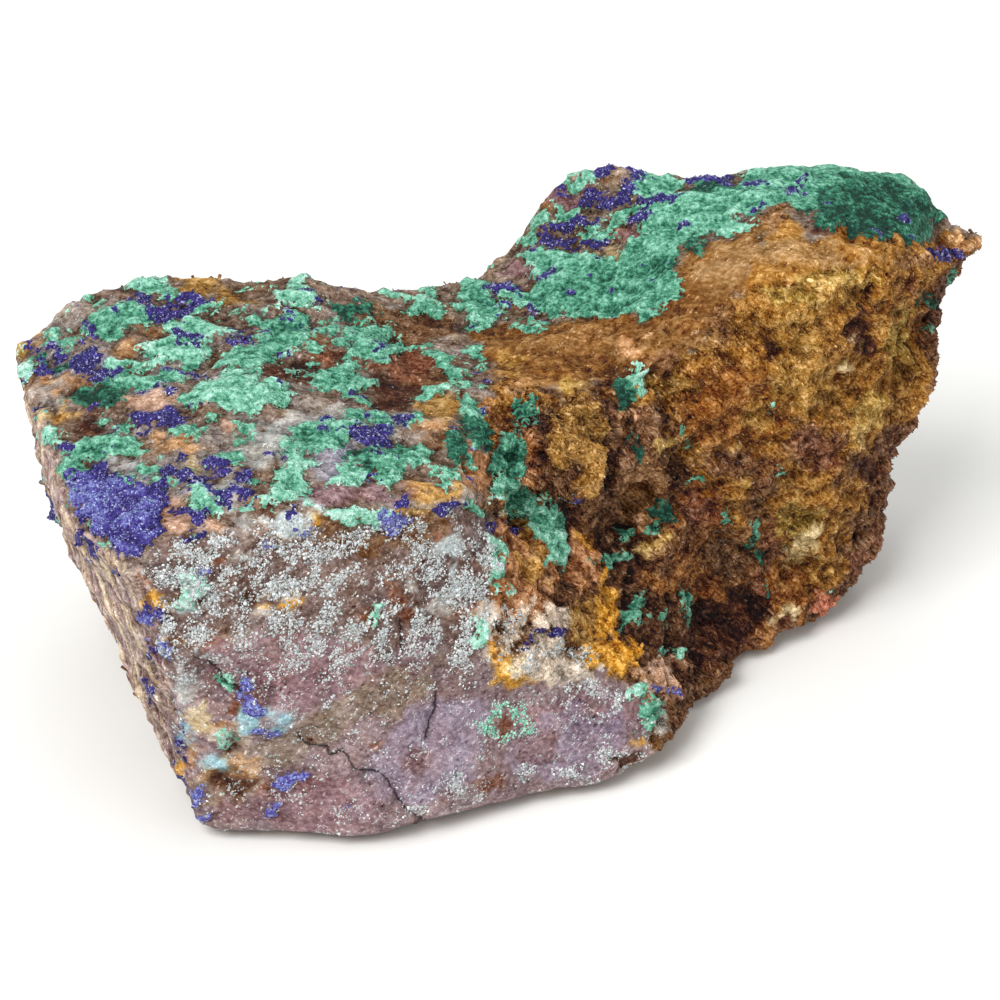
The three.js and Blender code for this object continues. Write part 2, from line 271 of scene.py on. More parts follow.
# Where each kind of malachite and azurite shows, and where the summit's sheet of malachite is broken open.
MALACHITE_DEEP: Spots = (
    (99, 400, 22, 8), (61, 362, 18, 4), (352, 311, 16, 6), (360, 458, 12, 8), (624, 397, 11, 11),
    (662, 273, 10, 12), (691, 247, 14, 5), (482, 434, 18, 8, -25), (456, 450, 5, 12), (661, 514, 9, 9),
    (754, 552, 8, 8), (766, 590, 4, 9), (631, 447, 6, 16), (877, 208, 60, 30), (930, 302, 9, 8),
    (870, 190, 40, 10), (910, 237, 16, 8), (712, 188, 16, 6),
)
MALACHITE_MID: Spots = (
    (122, 317, 25, 10), (107, 330, 20, 7), (106, 450, 30, 9), (115, 306, 14, 4), (66, 340, 12, 3),
    (169, 293, 8, 5), (201, 306, 14, 4), (190, 362, 12, 5), (238, 362, 18, 8), (150, 380, 30, 5),
    (193, 400, 12, 6), (120, 426, 10, 7), (189, 432, 12, 7), (249, 432, 12, 6), (74, 469, 14, 9),
    (120, 483, 10, 7), (150, 469, 8, 5), (228, 459, 11, 7), (205, 502, 10, 6), (258, 316, 8, 5),
    (288, 326, 22, 12), (278, 340, 20, 9), (256, 354, 18, 8), (331, 323, 8, 4), (344, 339, 8, 5),
    (368, 332, 18, 8), (380, 350, 22, 10), (352, 354, 8, 5), (313, 348, 8, 4), (336, 374, 22, 8),
    (356, 382, 14, 8), (324, 385, 14, 8), (427, 308, 12, 6), (448, 368, 19, 6, -30), (409, 348, 12, 3),
    (428, 393, 10, 3), (361, 417, 14, 8), (115, 383, 14, 9), (352, 426, 8, 6), (383, 421, 8, 8),
    (411, 421, 7, 6), (315, 436, 22, 10), (336, 439, 10, 8), (291, 449, 12, 6), (250, 433, 8, 5),
    (400, 459, 26, 11), (383, 479, 14, 6), (472, 412, 7, 7), (447, 478, 10, 8), (478, 509, 8, 5),
    (476, 297, 16, 10), (481, 324, 8, 5), (538, 222, 8, 6), (528, 235, 11, 5), (580, 179, 16, 4),
    (654, 188, 24, 9), (604, 237, 9, 5), (571, 211, 11, 4), (628, 217, 15, 4, 15), (531, 257, 16, 5),
    (559, 267, 18, 10), (471, 294, 16, 10), (535, 298, 16, 7), (480, 324, 10, 5), (535, 324, 14, 3),
    (630, 308, 26, 5), (606, 287, 66, 26), (685, 437, 7, 6), (522, 412, 14, 14), (650, 532, 13, 6),
    (626, 530, 6, 8), (620, 557, 14, 9), (726, 514, 8, 8), (696, 483, 11, 5), (754, 526, 5, 12),
    (689, 605, 8, 15), (631, 614, 9, 15), (660, 619, 10, 5), (640, 601, 5, 8), (951, 281, 7, 6),
    (926, 325, 5, 5), (650, 714, 9, 16), (496, 570, 4, 14), (630, 624, 8, 8), (700, 212, 30, 14),
    (760, 200, 40, 10), (511, 462, 16, 30), (523, 421, 15, 11), (521, 405, 12, 8), (608, 559, 14, 7),
)
MALACHITE_MINT: Spots = (
    (144, 284, 15, 8), (193, 327, 28, 10), (177, 349, 28, 12), (131, 365, 20, 4), (240, 393, 40, 16),
    (50, 437, 8, 4), (297, 294, 16, 12), (348, 474, 14, 10), (288, 482, 16, 14), (558, 212, 5, 5),
    (672, 214, 30, 20), (729, 228, 20, 6), (566, 268, 30, 10, 8), (520, 298, 20, 7), (735, 205, 26, 10),
    (555, 544, 9, 14), (562, 496, 6, 5), (613, 558, 14, 8), (207, 506, 12, 10), (288, 493, 12, 14),
    (355, 513, 18, 5), (378, 520, 14, 5), (668, 703, 6, 5), (671, 651, 10, 6), (831, 587, 7, 4),
    (779, 471, 5, 4), (776, 407, 5, 5), (227, 681, 7, 5), (378, 614, 3, 8), (222, 741, 6, 5),
    (780, 192, 30, 9),
)
SHEET_GAPS: Spots = (
    (600, 213, 40, 8, 17), (558, 230, 22, 8, 8), (567, 196, 18, 11), (543, 207, 10, 12),
    (519, 272, 18, 8), (528, 306, 18, 5), (626, 237, 13, 7), (604, 254, 16, 4), (592, 176, 30, 7),
    (570, 243, 32, 9, 6), (768, 219, 30, 6, 18), (560, 186, 13, 9),
)
MALACHITE_PALE: Spots = (
    (24, 370, 6, 9), (106, 496, 8, 4), (300, 461, 12, 6), (352, 511, 20, 4), (638, 171, 7, 5),
    (673, 241, 16, 4, 10), (640, 381, 12, 9), (191, 590, 11, 18), (478, 637, 10, 8), (504, 589, 4, 8),
    (638, 691, 11, 7), (517, 498, 27, 13, -15), (513, 511, 12, 11), (550, 531, 36, 13, -60),
    (503, 547, 12, 13), (556, 553, 11, 12),
)
MALACHITE_BEDS: Sequence[tuple[float, Spots]] = (  # each with its tone, from 0, dark, to 1, pale
    (-0.30, MALACHITE_DEEP), (0.42, MALACHITE_MID), (0.75, MALACHITE_MINT), (1.0, MALACHITE_PALE),
)
AZURITE_DARK: Spots = (
    (142, 300, 6, 5), (189, 298, 15, 6), (163, 313, 12, 9), (181, 308, 12, 6), (87, 327, 6, 5),
    (240, 337, 10, 8), (50, 349, 22, 4), (87, 362, 12, 10), (101, 376, 14, 8), (42, 370, 8, 7),
    (142, 388, 6, 4), (165, 388, 6, 3), (185, 375, 20, 3), (158, 418, 26, 8), (142, 437, 6, 4),
    (115, 437, 8, 3), (63, 448, 12, 5), (96, 467, 12, 5), (184, 459, 5, 4), (169, 474, 8, 6),
    (184, 482, 6, 4), (157, 488, 9, 6), (201, 486, 10, 6), (217, 467, 9, 7), (222, 480, 6, 4),
    (248, 478, 9, 8), (225, 499, 9, 6), (251, 497, 8, 7), (352, 434, 8, 4), (372, 436, 12, 7),
    (380, 444, 8, 4), (401, 426, 10, 5), (371, 480, 6, 4), (275, 456, 5, 4), (399, 501, 8, 4),
    (446, 511, 18, 4), (395, 519, 6, 4), (294, 515, 5, 3), (600, 170, 9, 5), (563, 185, 8, 5),
    (615, 198, 22, 7, 20), (588, 198, 6, 6), (657, 203, 24, 4, 8), (568, 221, 19, 5, 5),
    (640, 221, 12, 5, 30), (644, 214, 10, 3, 20), (556, 241, 20, 6, 10), (570, 249, 14, 3),
    (599, 244, 15, 4), (545, 234, 7, 4), (525, 249, 8, 3), (506, 291, 11, 4), (506, 310, 6, 3),
    (536, 310, 7, 3), (629, 182, 8, 4), (696, 179, 14, 4), (714, 179, 22, 4), (752, 185, 7, 5),
    (794, 188, 5, 3), (785, 191, 4, 3), (757, 207, 5, 3), (942, 253, 14, 7), (965, 259, 6, 4),
    (448, 510, 10, 4), (574, 502, 5, 4), (494, 523, 6, 6), (513, 529, 5, 5), (554, 631, 12, 5),
    (531, 645, 5, 4), (156, 614, 8, 5), (140, 612, 5, 3), (151, 657, 4, 6), (115, 631, 4, 5),
    (77, 534, 5, 10), (89, 552, 5, 8), (114, 569, 4, 5), (146, 695, 4, 12), (140, 682, 3, 5),
    (179, 740, 5, 5), (181, 758, 5, 5), (166, 766, 4, 5), (181, 785, 4, 6), (188, 512, 8, 5),
    (200, 515, 8, 6), (197, 531, 10, 5), (183, 541, 8, 3),
)
AZURITE_BRIGHT: Spots = (
    (206, 573, 6, 7), (161, 648, 12, 9), (287, 781, 16, 7, 20), (204, 815, 9, 5, 25), (392, 524, 12, 9),
    (246, 688, 8, 8), (250, 705, 8, 6), (262, 734, 6, 4), (271, 731, 10, 4), (661, 690, 10, 4),
    (266, 548, 7, 3), (301, 531, 8, 5), (267, 810, 6, 4), (196, 796, 5, 5), (354, 812, 4, 3),
    (138, 620, 6, 5), (100, 500, 26, 12),
)

# The stains, each laid over those before it. The dark spots are partly painted shade, in pits, in gaps and
# in the hollow under the lobe's overhang.
STAINS_AND_SHADE: Sequence[tuple[Ground, Spots]] = (
    (Ground.ASH, ((325, 440, 66, 26), (250, 448, 30, 14), (180, 378, 60, 8), (140, 470, 40, 10))),
    (Ground.TAUPE, (
        (600, 213, 40, 8, 17), (558, 230, 22, 6, 8), (225, 786, 34, 14), (262, 756, 36, 14),
        (400, 685, 46, 22, 35), (330, 722, 52, 16, 32), (270, 752, 40, 14, 25), (250, 640, 30, 10),
    )),
    (Ground.SIENNA, ((730, 405, 54, 40), (745, 600, 60, 50), (700, 520, 30, 34), (676, 575, 32, 22))),
    (Ground.TAN, ((642, 494, 20, 36), (520, 500, 22, 22), (536, 540, 22, 40))),
    (Ground.FACET, ((728, 562, 13, 16), (722, 540, 10, 14))),
    (Ground.RUST, (
        (528, 556, 34, 46), (520, 590, 24, 30), (585, 560, 16, 30), (528, 451, 12, 16),
        (500, 429, 11, 9), (530, 470, 12, 16), (495, 420, 10, 14), (485, 470, 12, 20),
        (627, 412, 12, 12), (634, 350, 10, 10), (475, 465, 20, 18),
    )),
    (Ground.BROWN, (
        (407, 323, 46, 22), (425, 372, 30, 16), (216, 352, 10, 7), (320, 338, 14, 9),
        (330, 527, 22, 10), (426, 527, 26, 12), (367, 544, 16, 10), (384, 541, 10, 8),
        (74, 388, 10, 10), (543, 207, 10, 12), (520, 309, 9, 5), (606, 178, 12, 4),
        (768, 219, 30, 6, 18), (178, 639, 10, 5), (740, 560, 26, 36), (754, 510, 10, 28),
        (413, 488, 11, 9), (400, 538, 36, 8), (664, 362, 16, 15), (432, 443, 18, 12),
        (738, 466, 24, 14), (762, 490, 12, 16), (912, 262, 14, 7), (850, 470, 36, 9, 38),
        (798, 442, 16, 18), (722, 328, 10, 15), (862, 543, 20, 30), (590, 517, 26, 14),
        (614, 440, 5, 24),
    )),
    (Ground.RED, (
        (407, 366, 34, 10), (329, 354, 12, 9), (700, 509, 20, 18), (770, 545, 8, 26), (758, 587, 5, 22),
        (861, 565, 14, 16), (879, 538, 6, 10), (819, 445, 24, 20), (221, 561, 7, 8), (299, 560, 9, 4),
        (400, 603, 11, 16), (368, 616, 7, 10), (327, 630, 6, 6), (477, 611, 10, 12), (507, 725, 13, 10),
        (265, 791, 8, 10), (234, 702, 9, 10), (208, 643, 12, 8), (487, 785, 12, 7), (440, 536, 12, 7),
        (829, 226, 18, 8), (890, 205, 6, 5), (896, 174, 14, 4), (380, 745, 10, 6), (141, 582, 4, 4),
    )),
    (Ground.DARK, (
        (90, 426, 16, 9), (393, 391, 24, 16), (293, 372, 24, 12), (555, 399, 6, 3), (539, 458, 4, 8),
        (601, 399, 8, 12), (570, 529, 14, 16), (637, 563, 12, 10), (463, 399, 4, 12), (497, 462, 4, 12),
        (709, 621, 28, 20), (745, 612, 22, 20), (785, 628, 12, 6), (638, 570, 8, 10), (872, 465, 14, 8),
        (268, 510, 9, 6), (897, 454, 10, 6), (877, 478, 10, 8), (861, 339, 14, 20), (771, 350, 14, 8),
        (863, 297, 7, 6), (861, 289, 8, 5), (909, 285, 8, 6), (236, 742, 10, 9), (230, 783, 20, 14),
        (268, 694, 8, 10), (256, 563, 9, 7), (243, 601, 10, 6), (204, 603, 7, 6), (512, 633, 4, 6),
        (305, 742, 4, 4), (716, 640, 40, 22), (628, 763, 20, 5), (543, 458, 4, 10), (608, 462, 4, 34),
        (566, 507, 20, 5),
    )),
    (Ground.TAN, (
        (149, 330, 13, 6), (125, 351, 18, 8), (170, 443, 26, 9), (198, 448, 14, 5), (546, 203, 8, 12),
        (47, 383, 16, 7), (42, 338, 10, 5), (217, 726, 18, 8), (238, 766, 14, 12), (190, 750, 8, 12),
        (209, 777, 10, 6), (256, 695, 7, 7), (650, 674, 14, 10), (963, 241, 16, 9), (514, 385, 10, 8),
        (636, 350, 8, 9), (627, 412, 10, 10), (624, 238, 14, 8), (429, 426, 10, 5), (655, 677, 20, 6),
    )),
    (Ground.LEDGE, ((775, 252, 64, 13), (844, 260, 34, 10), (715, 272, 28, 12))),
    (Ground.PINK, (
        (157, 402, 22, 9), (225, 429, 8, 7), (176, 520, 11, 18), (215, 523, 14, 7), (555, 613, 28, 13),
        (670, 241, 16, 5),
    )),
    (Ground.OCHRE, (
        (610, 652, 26, 17), (589, 543, 8, 7), (608, 615, 13, 20), (503, 674, 14, 8), (508, 660, 16, 13),
        (523, 680, 14, 5), (262, 601, 10, 7), (288, 601, 9, 5), (156, 604, 12, 8), (314, 527, 8, 6),
        (177, 771, 6, 8), (604, 585, 5, 14), (642, 743, 6, 7),
    )),
    (Ground.GOLD, (
        (58, 416, 18, 7), (440, 496, 22, 8), (408, 511, 12, 7), (198, 284, 22, 8), (233, 300, 20, 7),
        (440, 410, 22, 11, -15), (488, 429, 8, 8), (530, 522, 20, 18), (538, 566, 16, 18),
        (848, 274, 30, 7), (833, 295, 20, 13), (902, 367, 12, 12), (800, 380, 30, 30),
        (578, 435, 26, 34), (590, 472, 18, 22), (796, 330, 20, 30), (676, 385, 20, 14),
        (757, 410, 16, 16),
    )),
    (Ground.OLIVE, ((787, 293, 24, 12), (800, 520, 20, 20), (900, 330, 12, 30))),
    (Ground.YELLOW, (
        (662, 445, 12, 9), (747, 476, 6, 8), (739, 487, 4, 10), (669, 536, 9, 7), (649, 549, 14, 5),
        (573, 385, 12, 7), (23, 354, 6, 6), (863, 429, 15, 20), (875, 409, 13, 22), (840, 280, 34, 8),
    )),
    (Ground.CREAM, (
        (808, 538, 14, 14), (794, 556, 16, 8), (736, 449, 3, 5), (787, 614, 10, 8), (709, 614, 3, 5),
        (772, 621, 3, 5), (854, 346, 5, 6), (846, 362, 5, 6), (193, 469, 10, 7), (608, 254, 13, 5),
        (594, 270, 8, 3), (198, 719, 19, 9), (43, 414, 9, 6),
    )),
    (Ground.GREY, (
        (169, 378, 20, 5), (122, 464, 18, 5), (249, 451, 14, 10), (236, 483, 8, 6), (138, 483, 10, 6),
        (294, 418, 22, 7), (259, 444, 20, 12), (262, 463, 16, 8), (328, 461, 16, 12), (352, 450, 14, 5),
        (339, 409, 26, 7), (244, 521, 16, 8), (188, 684, 14, 12), (662, 712, 12, 20), (138, 437, 11, 7),
        (240, 560, 14, 7), (414, 588, 10, 8), (437, 612, 10, 8),
    )),
    (Ground.GREY, ((266, 446, 34, 20), (228, 496, 20, 10))),
    (Ground.LILAC, ((332, 458, 28, 18), (150, 386, 22, 8), (80, 362, 36, 9))),
    (Ground.MAUVE, (
        (567, 196, 18, 11), (519, 272, 18, 8), (626, 237, 13, 7), (344, 493, 46, 8), (379, 496, 26, 6),
        (290, 668, 84, 34), (320, 805, 60, 24, 5), (580, 720, 60, 20),
    )),
    (Ground.LAVENDER, ((430, 750, 60, 40, 40), (570, 745, 60, 30, 15))),
    (Ground.IVORY, (
        (556, 613, 28, 13), (546, 664, 38, 16), (512, 636, 10, 14), (487, 622, 9, 26),
        (545, 642, 22, 10), (588, 674, 18, 7), (638, 690, 12, 7), (160, 640, 8, 14), (262, 612, 14, 8),
        (216, 737, 13, 9), (240, 738, 9, 7),
    )),
    (Ground.PINK, ((664, 668, 20, 12), (662, 690, 16, 12))),
    (Ground.PLUM, (
        (238, 812, 24, 12), (300, 818, 26, 6), (412, 656, 20, 20), (412, 764, 15, 12),
        (537, 750, 18, 20),
    )),
    (Ground.GOLD, ((588, 612, 12, 14), (586, 637, 13, 12), (512, 362, 15, 11))),
    (Ground.RUSSET, (
        (712, 462, 16, 14), (738, 466, 16, 12), (764, 470, 14, 20), (688, 540, 15, 16),
        (660, 564, 16, 13), (664, 363, 13, 12), (838, 438, 14, 12),
    )),
    (Ground.CORAL, ((823, 605, 13, 10),)),
    (Ground.WHITE, (
        (453, 548, 12, 12), (451, 577, 5, 22), (310, 505, 14, 6), (291, 527, 19, 11), (187, 612, 10, 7),
    )),
    (Ground.CYAN, (
        (252, 719, 17, 10), (281, 723, 12, 6, 35), (188, 735, 8, 5), (212, 762, 14, 9, -25),
    )),
)
# The stains that carry no small islands of crust.
BARE = (
    Ground.TAN, Ground.PINK, Ground.GREY, Ground.BROWN, Ground.RED, Ground.GOLD, Ground.MAUVE,
    Ground.LILAC, Ground.CYAN,
)

# Where the pale sugar lies outside its main field, where it is thin, and its ring.
SUGAR_SPOTS: Spots = (
    (190, 686, 16, 14), (183, 670, 12, 12), (550, 660, 34, 13), (529, 662, 12, 8), (583, 682, 14, 9),
    (601, 705, 14, 10), (601, 754, 18, 14), (628, 763, 22, 9), (570, 778, 16, 7), (522, 773, 10, 8),
    (456, 781, 16, 7), (463, 792, 16, 6), (418, 805, 8, 9), (320, 707, 22, 6, 25), (332, 812, 10, 6),
    (288, 527, 20, 10), (244, 521, 14, 8), (590, 776, 10, 6), (187, 612, 16, 14), (238, 562, 18, 9),
    (412, 587, 14, 10), (437, 612, 14, 12), (162, 640, 8, 12), (512, 632, 12, 20), (487, 620, 10, 30),
    (600, 695, 16, 8),
)
BARE_SPOTS: Spots = (
    (375, 592, 28, 30), (250, 580, 14, 9), (306, 632, 36, 14), (400, 538, 40, 9), (412, 660, 28, 18),
    (424, 562, 20, 12), (312, 540, 20, 8), (537, 750, 20, 22),
)
GREEN_RING: Spots = ((507, 725, 27, 19),)
RING_CORE: Spots = ((507, 725, 14, 11),)


# ---------- mesh arrays


def smooth_step(value: Array, low: float, high: float) -> Array:
    """A soft rise from 0, where a value is below low, to 1, where it is above high."""
    share = np.clip((value - low) / (high - low), 0.0, 1.0)
    return share * share * (3 - 2 * share)


def read_array(items: Items, name: str, width: int, kind: type = np.float32) -> Array:
    """Reads one property of all items of a mesh.

    Args:
        items: The mesh's corners, edges or triangles.
        name: The property.
        width: How many values it has.
        kind: The values' type.

    Returns:
        The values, one item to a row.
    """
    values = np.empty(len(items) * width, kind)
    items.foreach_get(name, values)
    return values.reshape(-1, width) if width > 1 else values


def run_distance(pixels: Array, run: Outline, closed: bool) -> Array:
    """How far pixels lie from a run of straight lines.

    Args:
        pixels: Pixels across and down, one to a row.
        run: The run's corners.
        closed: Whether the run is an outline. Its inside then counts as above zero and its outside below.

    Returns:
        The distance of each pixel, in pixels. Those left of a run that is no outline lie below zero.
    """
    starts = np.array(run if closed else run[:-1], float)
    ends = np.array([*run[1:], run[0]] if closed else run[1:], float)
    nearest = np.full(len(pixels), np.inf)
    inside = np.zeros(len(pixels), bool)
    for start, end in zip(starts, ends):
        line = end - start
        away = pixels - start
        share = np.clip(away @ line / (line @ line), 0.0, 1.0)
        distance = np.linalg.norm(away - share[:, None] * line, axis=1)
        if not closed:
            right = line[0] * away[:, 1] > line[1] * away[:, 0]
            inside = np.where(distance < nearest, right, inside)
        elif line[1] != 0:
            level = (start[1] > pixels[:, 1]) != (end[1] > pixels[:, 1])
            inside ^= level & (away[:, 0] < line[0] * away[:, 1] / line[1])
        nearest = np.minimum(nearest, distance)
    return np.where(inside, nearest, -nearest)


class Skin:
    """The rock's surface as arrays, with what the viewpoint sees of it."""

    SPREAD_ROUNDS = 14  # corners that what is seen runs on round an edge
    HOLD = 4.0  # how firmly it holds out against the hidden side's rule
    SPOT_GROWTH = 1.12  # how much further a spot reaches than its row says
    SPOT_DEPTH = 3.0  # millimetres in depth that a spot reaches, besides its own size
    OUTSIDE = -100.0  # the score of what is far from every spot
    SWERVE = 11.0  # pixels that outlines and spots swerve at most
    SWERVE_SIZE = 2.4  # millimetres from one swerve to the next
    SWERVE_SEEDS = (21, 22)  # across and down
    CRACK_SWERVE = 0.2  # the share of the swerve that cracks take
    LIFT = 0.2 * MM  # a ray to the eye starts this far above the surface
    CLOUD_STEP = 17.3  # from the clouds of one seed to those of the next
    CLOUD_FADE = 0.9  # how fast the finer copies of clouds grow faint
    COBBLE_STEP = 11.7  # the same for cobbles
    COBBLE_SLOPE = 1.35  # how steeply a cobble falls off round its crown
    COBBLE_CROWN = 1.5  # how flat its crown is

    def __init__(self, rock: Piece, view: Viewpoint) -> None:
        """Reads the rock's mesh and finds what is in sight.

        Args:
            rock: The mesh object.
            view: The viewpoint whose pixels the outlines and spots use.
        """
        mesh = rock.data
        self.points = read_array(mesh.vertices, "co", 3).astype(float)
        self.normals = read_array(mesh.vertices, "normal", 3).astype(float)
        self.edges = read_array(mesh.edges, "vertices", 2, np.int32)
        self.ties = np.bincount(self.edges.ravel(), minlength=len(self.points))
        mesh.calc_loop_triangles()
        self.triangles = read_array(mesh.loop_triangles, "vertices", 3, np.int32)
        self.view = view
        self.pixels = view.see(self.points)
        swerves = [self.clouds(self.SWERVE_SIZE, 3, seed) for seed in self.SWERVE_SEEDS]
        swerve = self.SWERVE * np.stack(swerves, axis=1)
        self.crack_pixels = self.pixels[:, :2] + self.CRACK_SWERVE * swerve
        self.pixels[:, :2] += swerve
        self.seen = self._in_sight(rock)
        self.reach = self.spread(self.seen.astype(float))

    def _in_sight(self, rock: Piece) -> Array:
        """Finds which corners the eye sees past the rest of the rock.

        Args:
            rock: The mesh object.

        Returns:
            True for each corner in sight.
        """
        tree = BVHTree.FromObject(rock, bpy.context.evaluated_depsgraph_get())
        eye = self.view.eye()
        to_eye = eye - self.points
        facing = np.einsum("ij,ij->i", to_eye, self.normals) > 0
        seen = np.zeros(len(self.points), bool)
        for index in np.flatnonzero(facing):
            start = Vector(self.points[index] + self.normals[index] * self.LIFT)
            seen[index] = tree.ray_cast(start, Vector(to_eye[index]).normalized())[0] is None
        return seen

    def spread(self, values: Array, rounds: int = SPREAD_ROUNDS) -> Array:
        """Evens values out with those of the corners around.

        Args:
            values: A value for each corner.
            rounds: How many times over.

        Returns:
            The evened values.
        """
        first, second = self.edges.T
        for _ in range(rounds):
            around = np.bincount(first, values[second], len(values))
            around += np.bincount(second, values[first], len(values))
            values = (values + around / self.ties) / 2
        return values

    def extend(self, painted: Array, rule: Array) -> Array:
        """What is seen, run on a little round its edges into what a rule gives for the hidden sides.

        Args:
            painted: A value for each corner that is in sight.
            rule: A value for each corner that is not.

        Returns:
            A value for every corner.
        """
        known = self.spread(painted * self.seen) / np.maximum(self.reach, 1e-6)
        keep = np.clip(self.HOLD * self.reach, 0, 1)
        return np.where(self.seen, painted, rule + (known - rule) * keep)

    def standing(self, rounds: int) -> Array:
        """How far each corner stands above the middle of those around it, in millimetres."""
        around = np.stack([self.spread(self.points[:, i], rounds) for i in range(3)], axis=1)
        return np.einsum("ij,ij->i", self.points - around, self.normals) / MM

    def outline(self, corners: Outline) -> Array:
        """How far inside an outline each corner lies, in millimetres; below zero outside."""
        return run_distance(self.pixels[:, :2], corners, True) * self.view.pixel_size()

    def run(self, corners: Outline) -> Array:
        """How far each corner lies from a crack's run, in millimetres; below zero on its left."""
        return run_distance(self.crack_pixels, corners, False) * self.view.pixel_size()

    def spots(self, rows: Spots) -> Array:
        """Finds how far inside the nearest spot each corner lies.

        Args:
            rows: The spots. Each lies on the surface that is seen at its middle, not on what is far behind.

        Returns:
            Millimetres, below zero outside and on every hidden side.
        """
        across, down, depth = self.pixels[self.seen].T
        size = self.view.pixel_size()
        best = np.full(len(across), self.OUTSIDE)
        for row in rows:
            middle_across, middle_down, wide, high, turn = (*row, 0)[:5]
            right, up = across - middle_across, middle_down - down
            centre = np.argmin(right * right + up * up)
            bend = math.radians(turn)
            along = (right * math.cos(bend) + up * math.sin(bend)) / (self.SPOT_GROWTH * wide)
            over = (up * math.cos(bend) - right * math.sin(bend)) / (self.SPOT_GROWTH * high)
            away = (depth - depth[centre]) / (self.SPOT_DEPTH + 2 * size * (wide + high))
            inside = 1 - np.sqrt(along**2 + over**2 + away**2)
            best = np.maximum(best, inside * size * math.sqrt(wide * high))
        result = np.full(len(self.points), self.OUTSIDE)
        result[self.seen] = best
        return result

    def clouds(
        self, size: float, octaves: int, seed: int, along: Triple = (1, 0, 0), stretch: float = 1
    ) -> Array:
        """Makes soft noise between about -1 and 1.

        Args:
            size: What its swells measure, in millimetres.
            octaves: How many finer copies are added.
            seed: Which noise of its kind it is.
            along: The direction in which it is drawn out.
            stretch: How many times longer its swells are in that direction.

        Returns:
            A value for each corner.
        """
        way = np.array(along) / np.linalg.norm(along)
        drawn = self.points - np.outer(self.points @ way, way) * (1 - 1 / stretch)
        places = (drawn / (size * MM) + self.CLOUD_STEP * seed).tolist()
        return np.array([noise.fractal(place, self.CLOUD_FADE, 2.0, octaves) for place in places])

    def cobbles(self, size: float, seed: int) -> Array:
        """Rounded lumps side by side.

        Args:
            size: What one lump measures, in millimetres.
            seed: Which lumps of their kind they are.

        Returns:
            A value for each corner: 1 on the crown of a lump and 0 between lumps.
        """
        places = (self.points / (size * MM) + self.COBBLE_STEP * seed).tolist()
        away = np.array([noise.voronoi(place)[0][0] for place in places])
        return np.clip(1 - self.COBBLE_SLOPE * away**self.COBBLE_CROWN, 0, 1)


# ---------- what is where


def lay(colours: Array, ground: Ground, share: Array) -> None:
    """Lays a ground over the corners' colours, as thickly as each corner's share says."""
    colours += (ground.shade() - colours) * share[:, None]


@dataclass(frozen=True)
class Habit:
    """How a crust is strewn where no outline or spot places it. Scores and sizes are in millimetres."""

    island_size: float
    island_seed: int
    island_rarity: float
    patch_size: float
    patch_seed: int
    group_seed: int
    patch_rarity: float
    rise: float  # how much commoner patches are, for each millimetre up
    most: float  # the highest score that a patch has
    group_size: float = 24.0
    group_pull: float = 0.6  # how strongly patches gather in groups
    steepness: float = 5.0  # how fast a patch's score rises from its border
    middle: float = 25.0  # the height at which its rarity is noted
    foot: float = 3.0  # the height below which there is none
    island_steepness: float = 1.6

    def islands(self, skin: Skin) -> Array:
        """The score of small islands on the side that is seen."""
        clouds = skin.clouds(self.island_size, 3, self.island_seed, TABLE_GRAIN, 2)
        return self.island_steepness * (clouds - self.island_rarity)

    def patches(self, skin: Skin) -> Array:
        """Scores the larger patches of the hidden sides.

        Args:
            skin: The rock's surface.

        Returns:
            How far inside a patch each corner lies.
        """
        height = skin.points[:, 2] / MM
        groups = self.group_pull * skin.clouds(self.group_size, 2, self.group_seed)
        clouds = skin.clouds(self.patch_size, 5, self.patch_seed) + groups
        score = self.steepness * (clouds - self.patch_rarity + self.rise * (height - self.middle))
        return np.where(height < self.foot, -2.0, np.minimum(score, self.most))


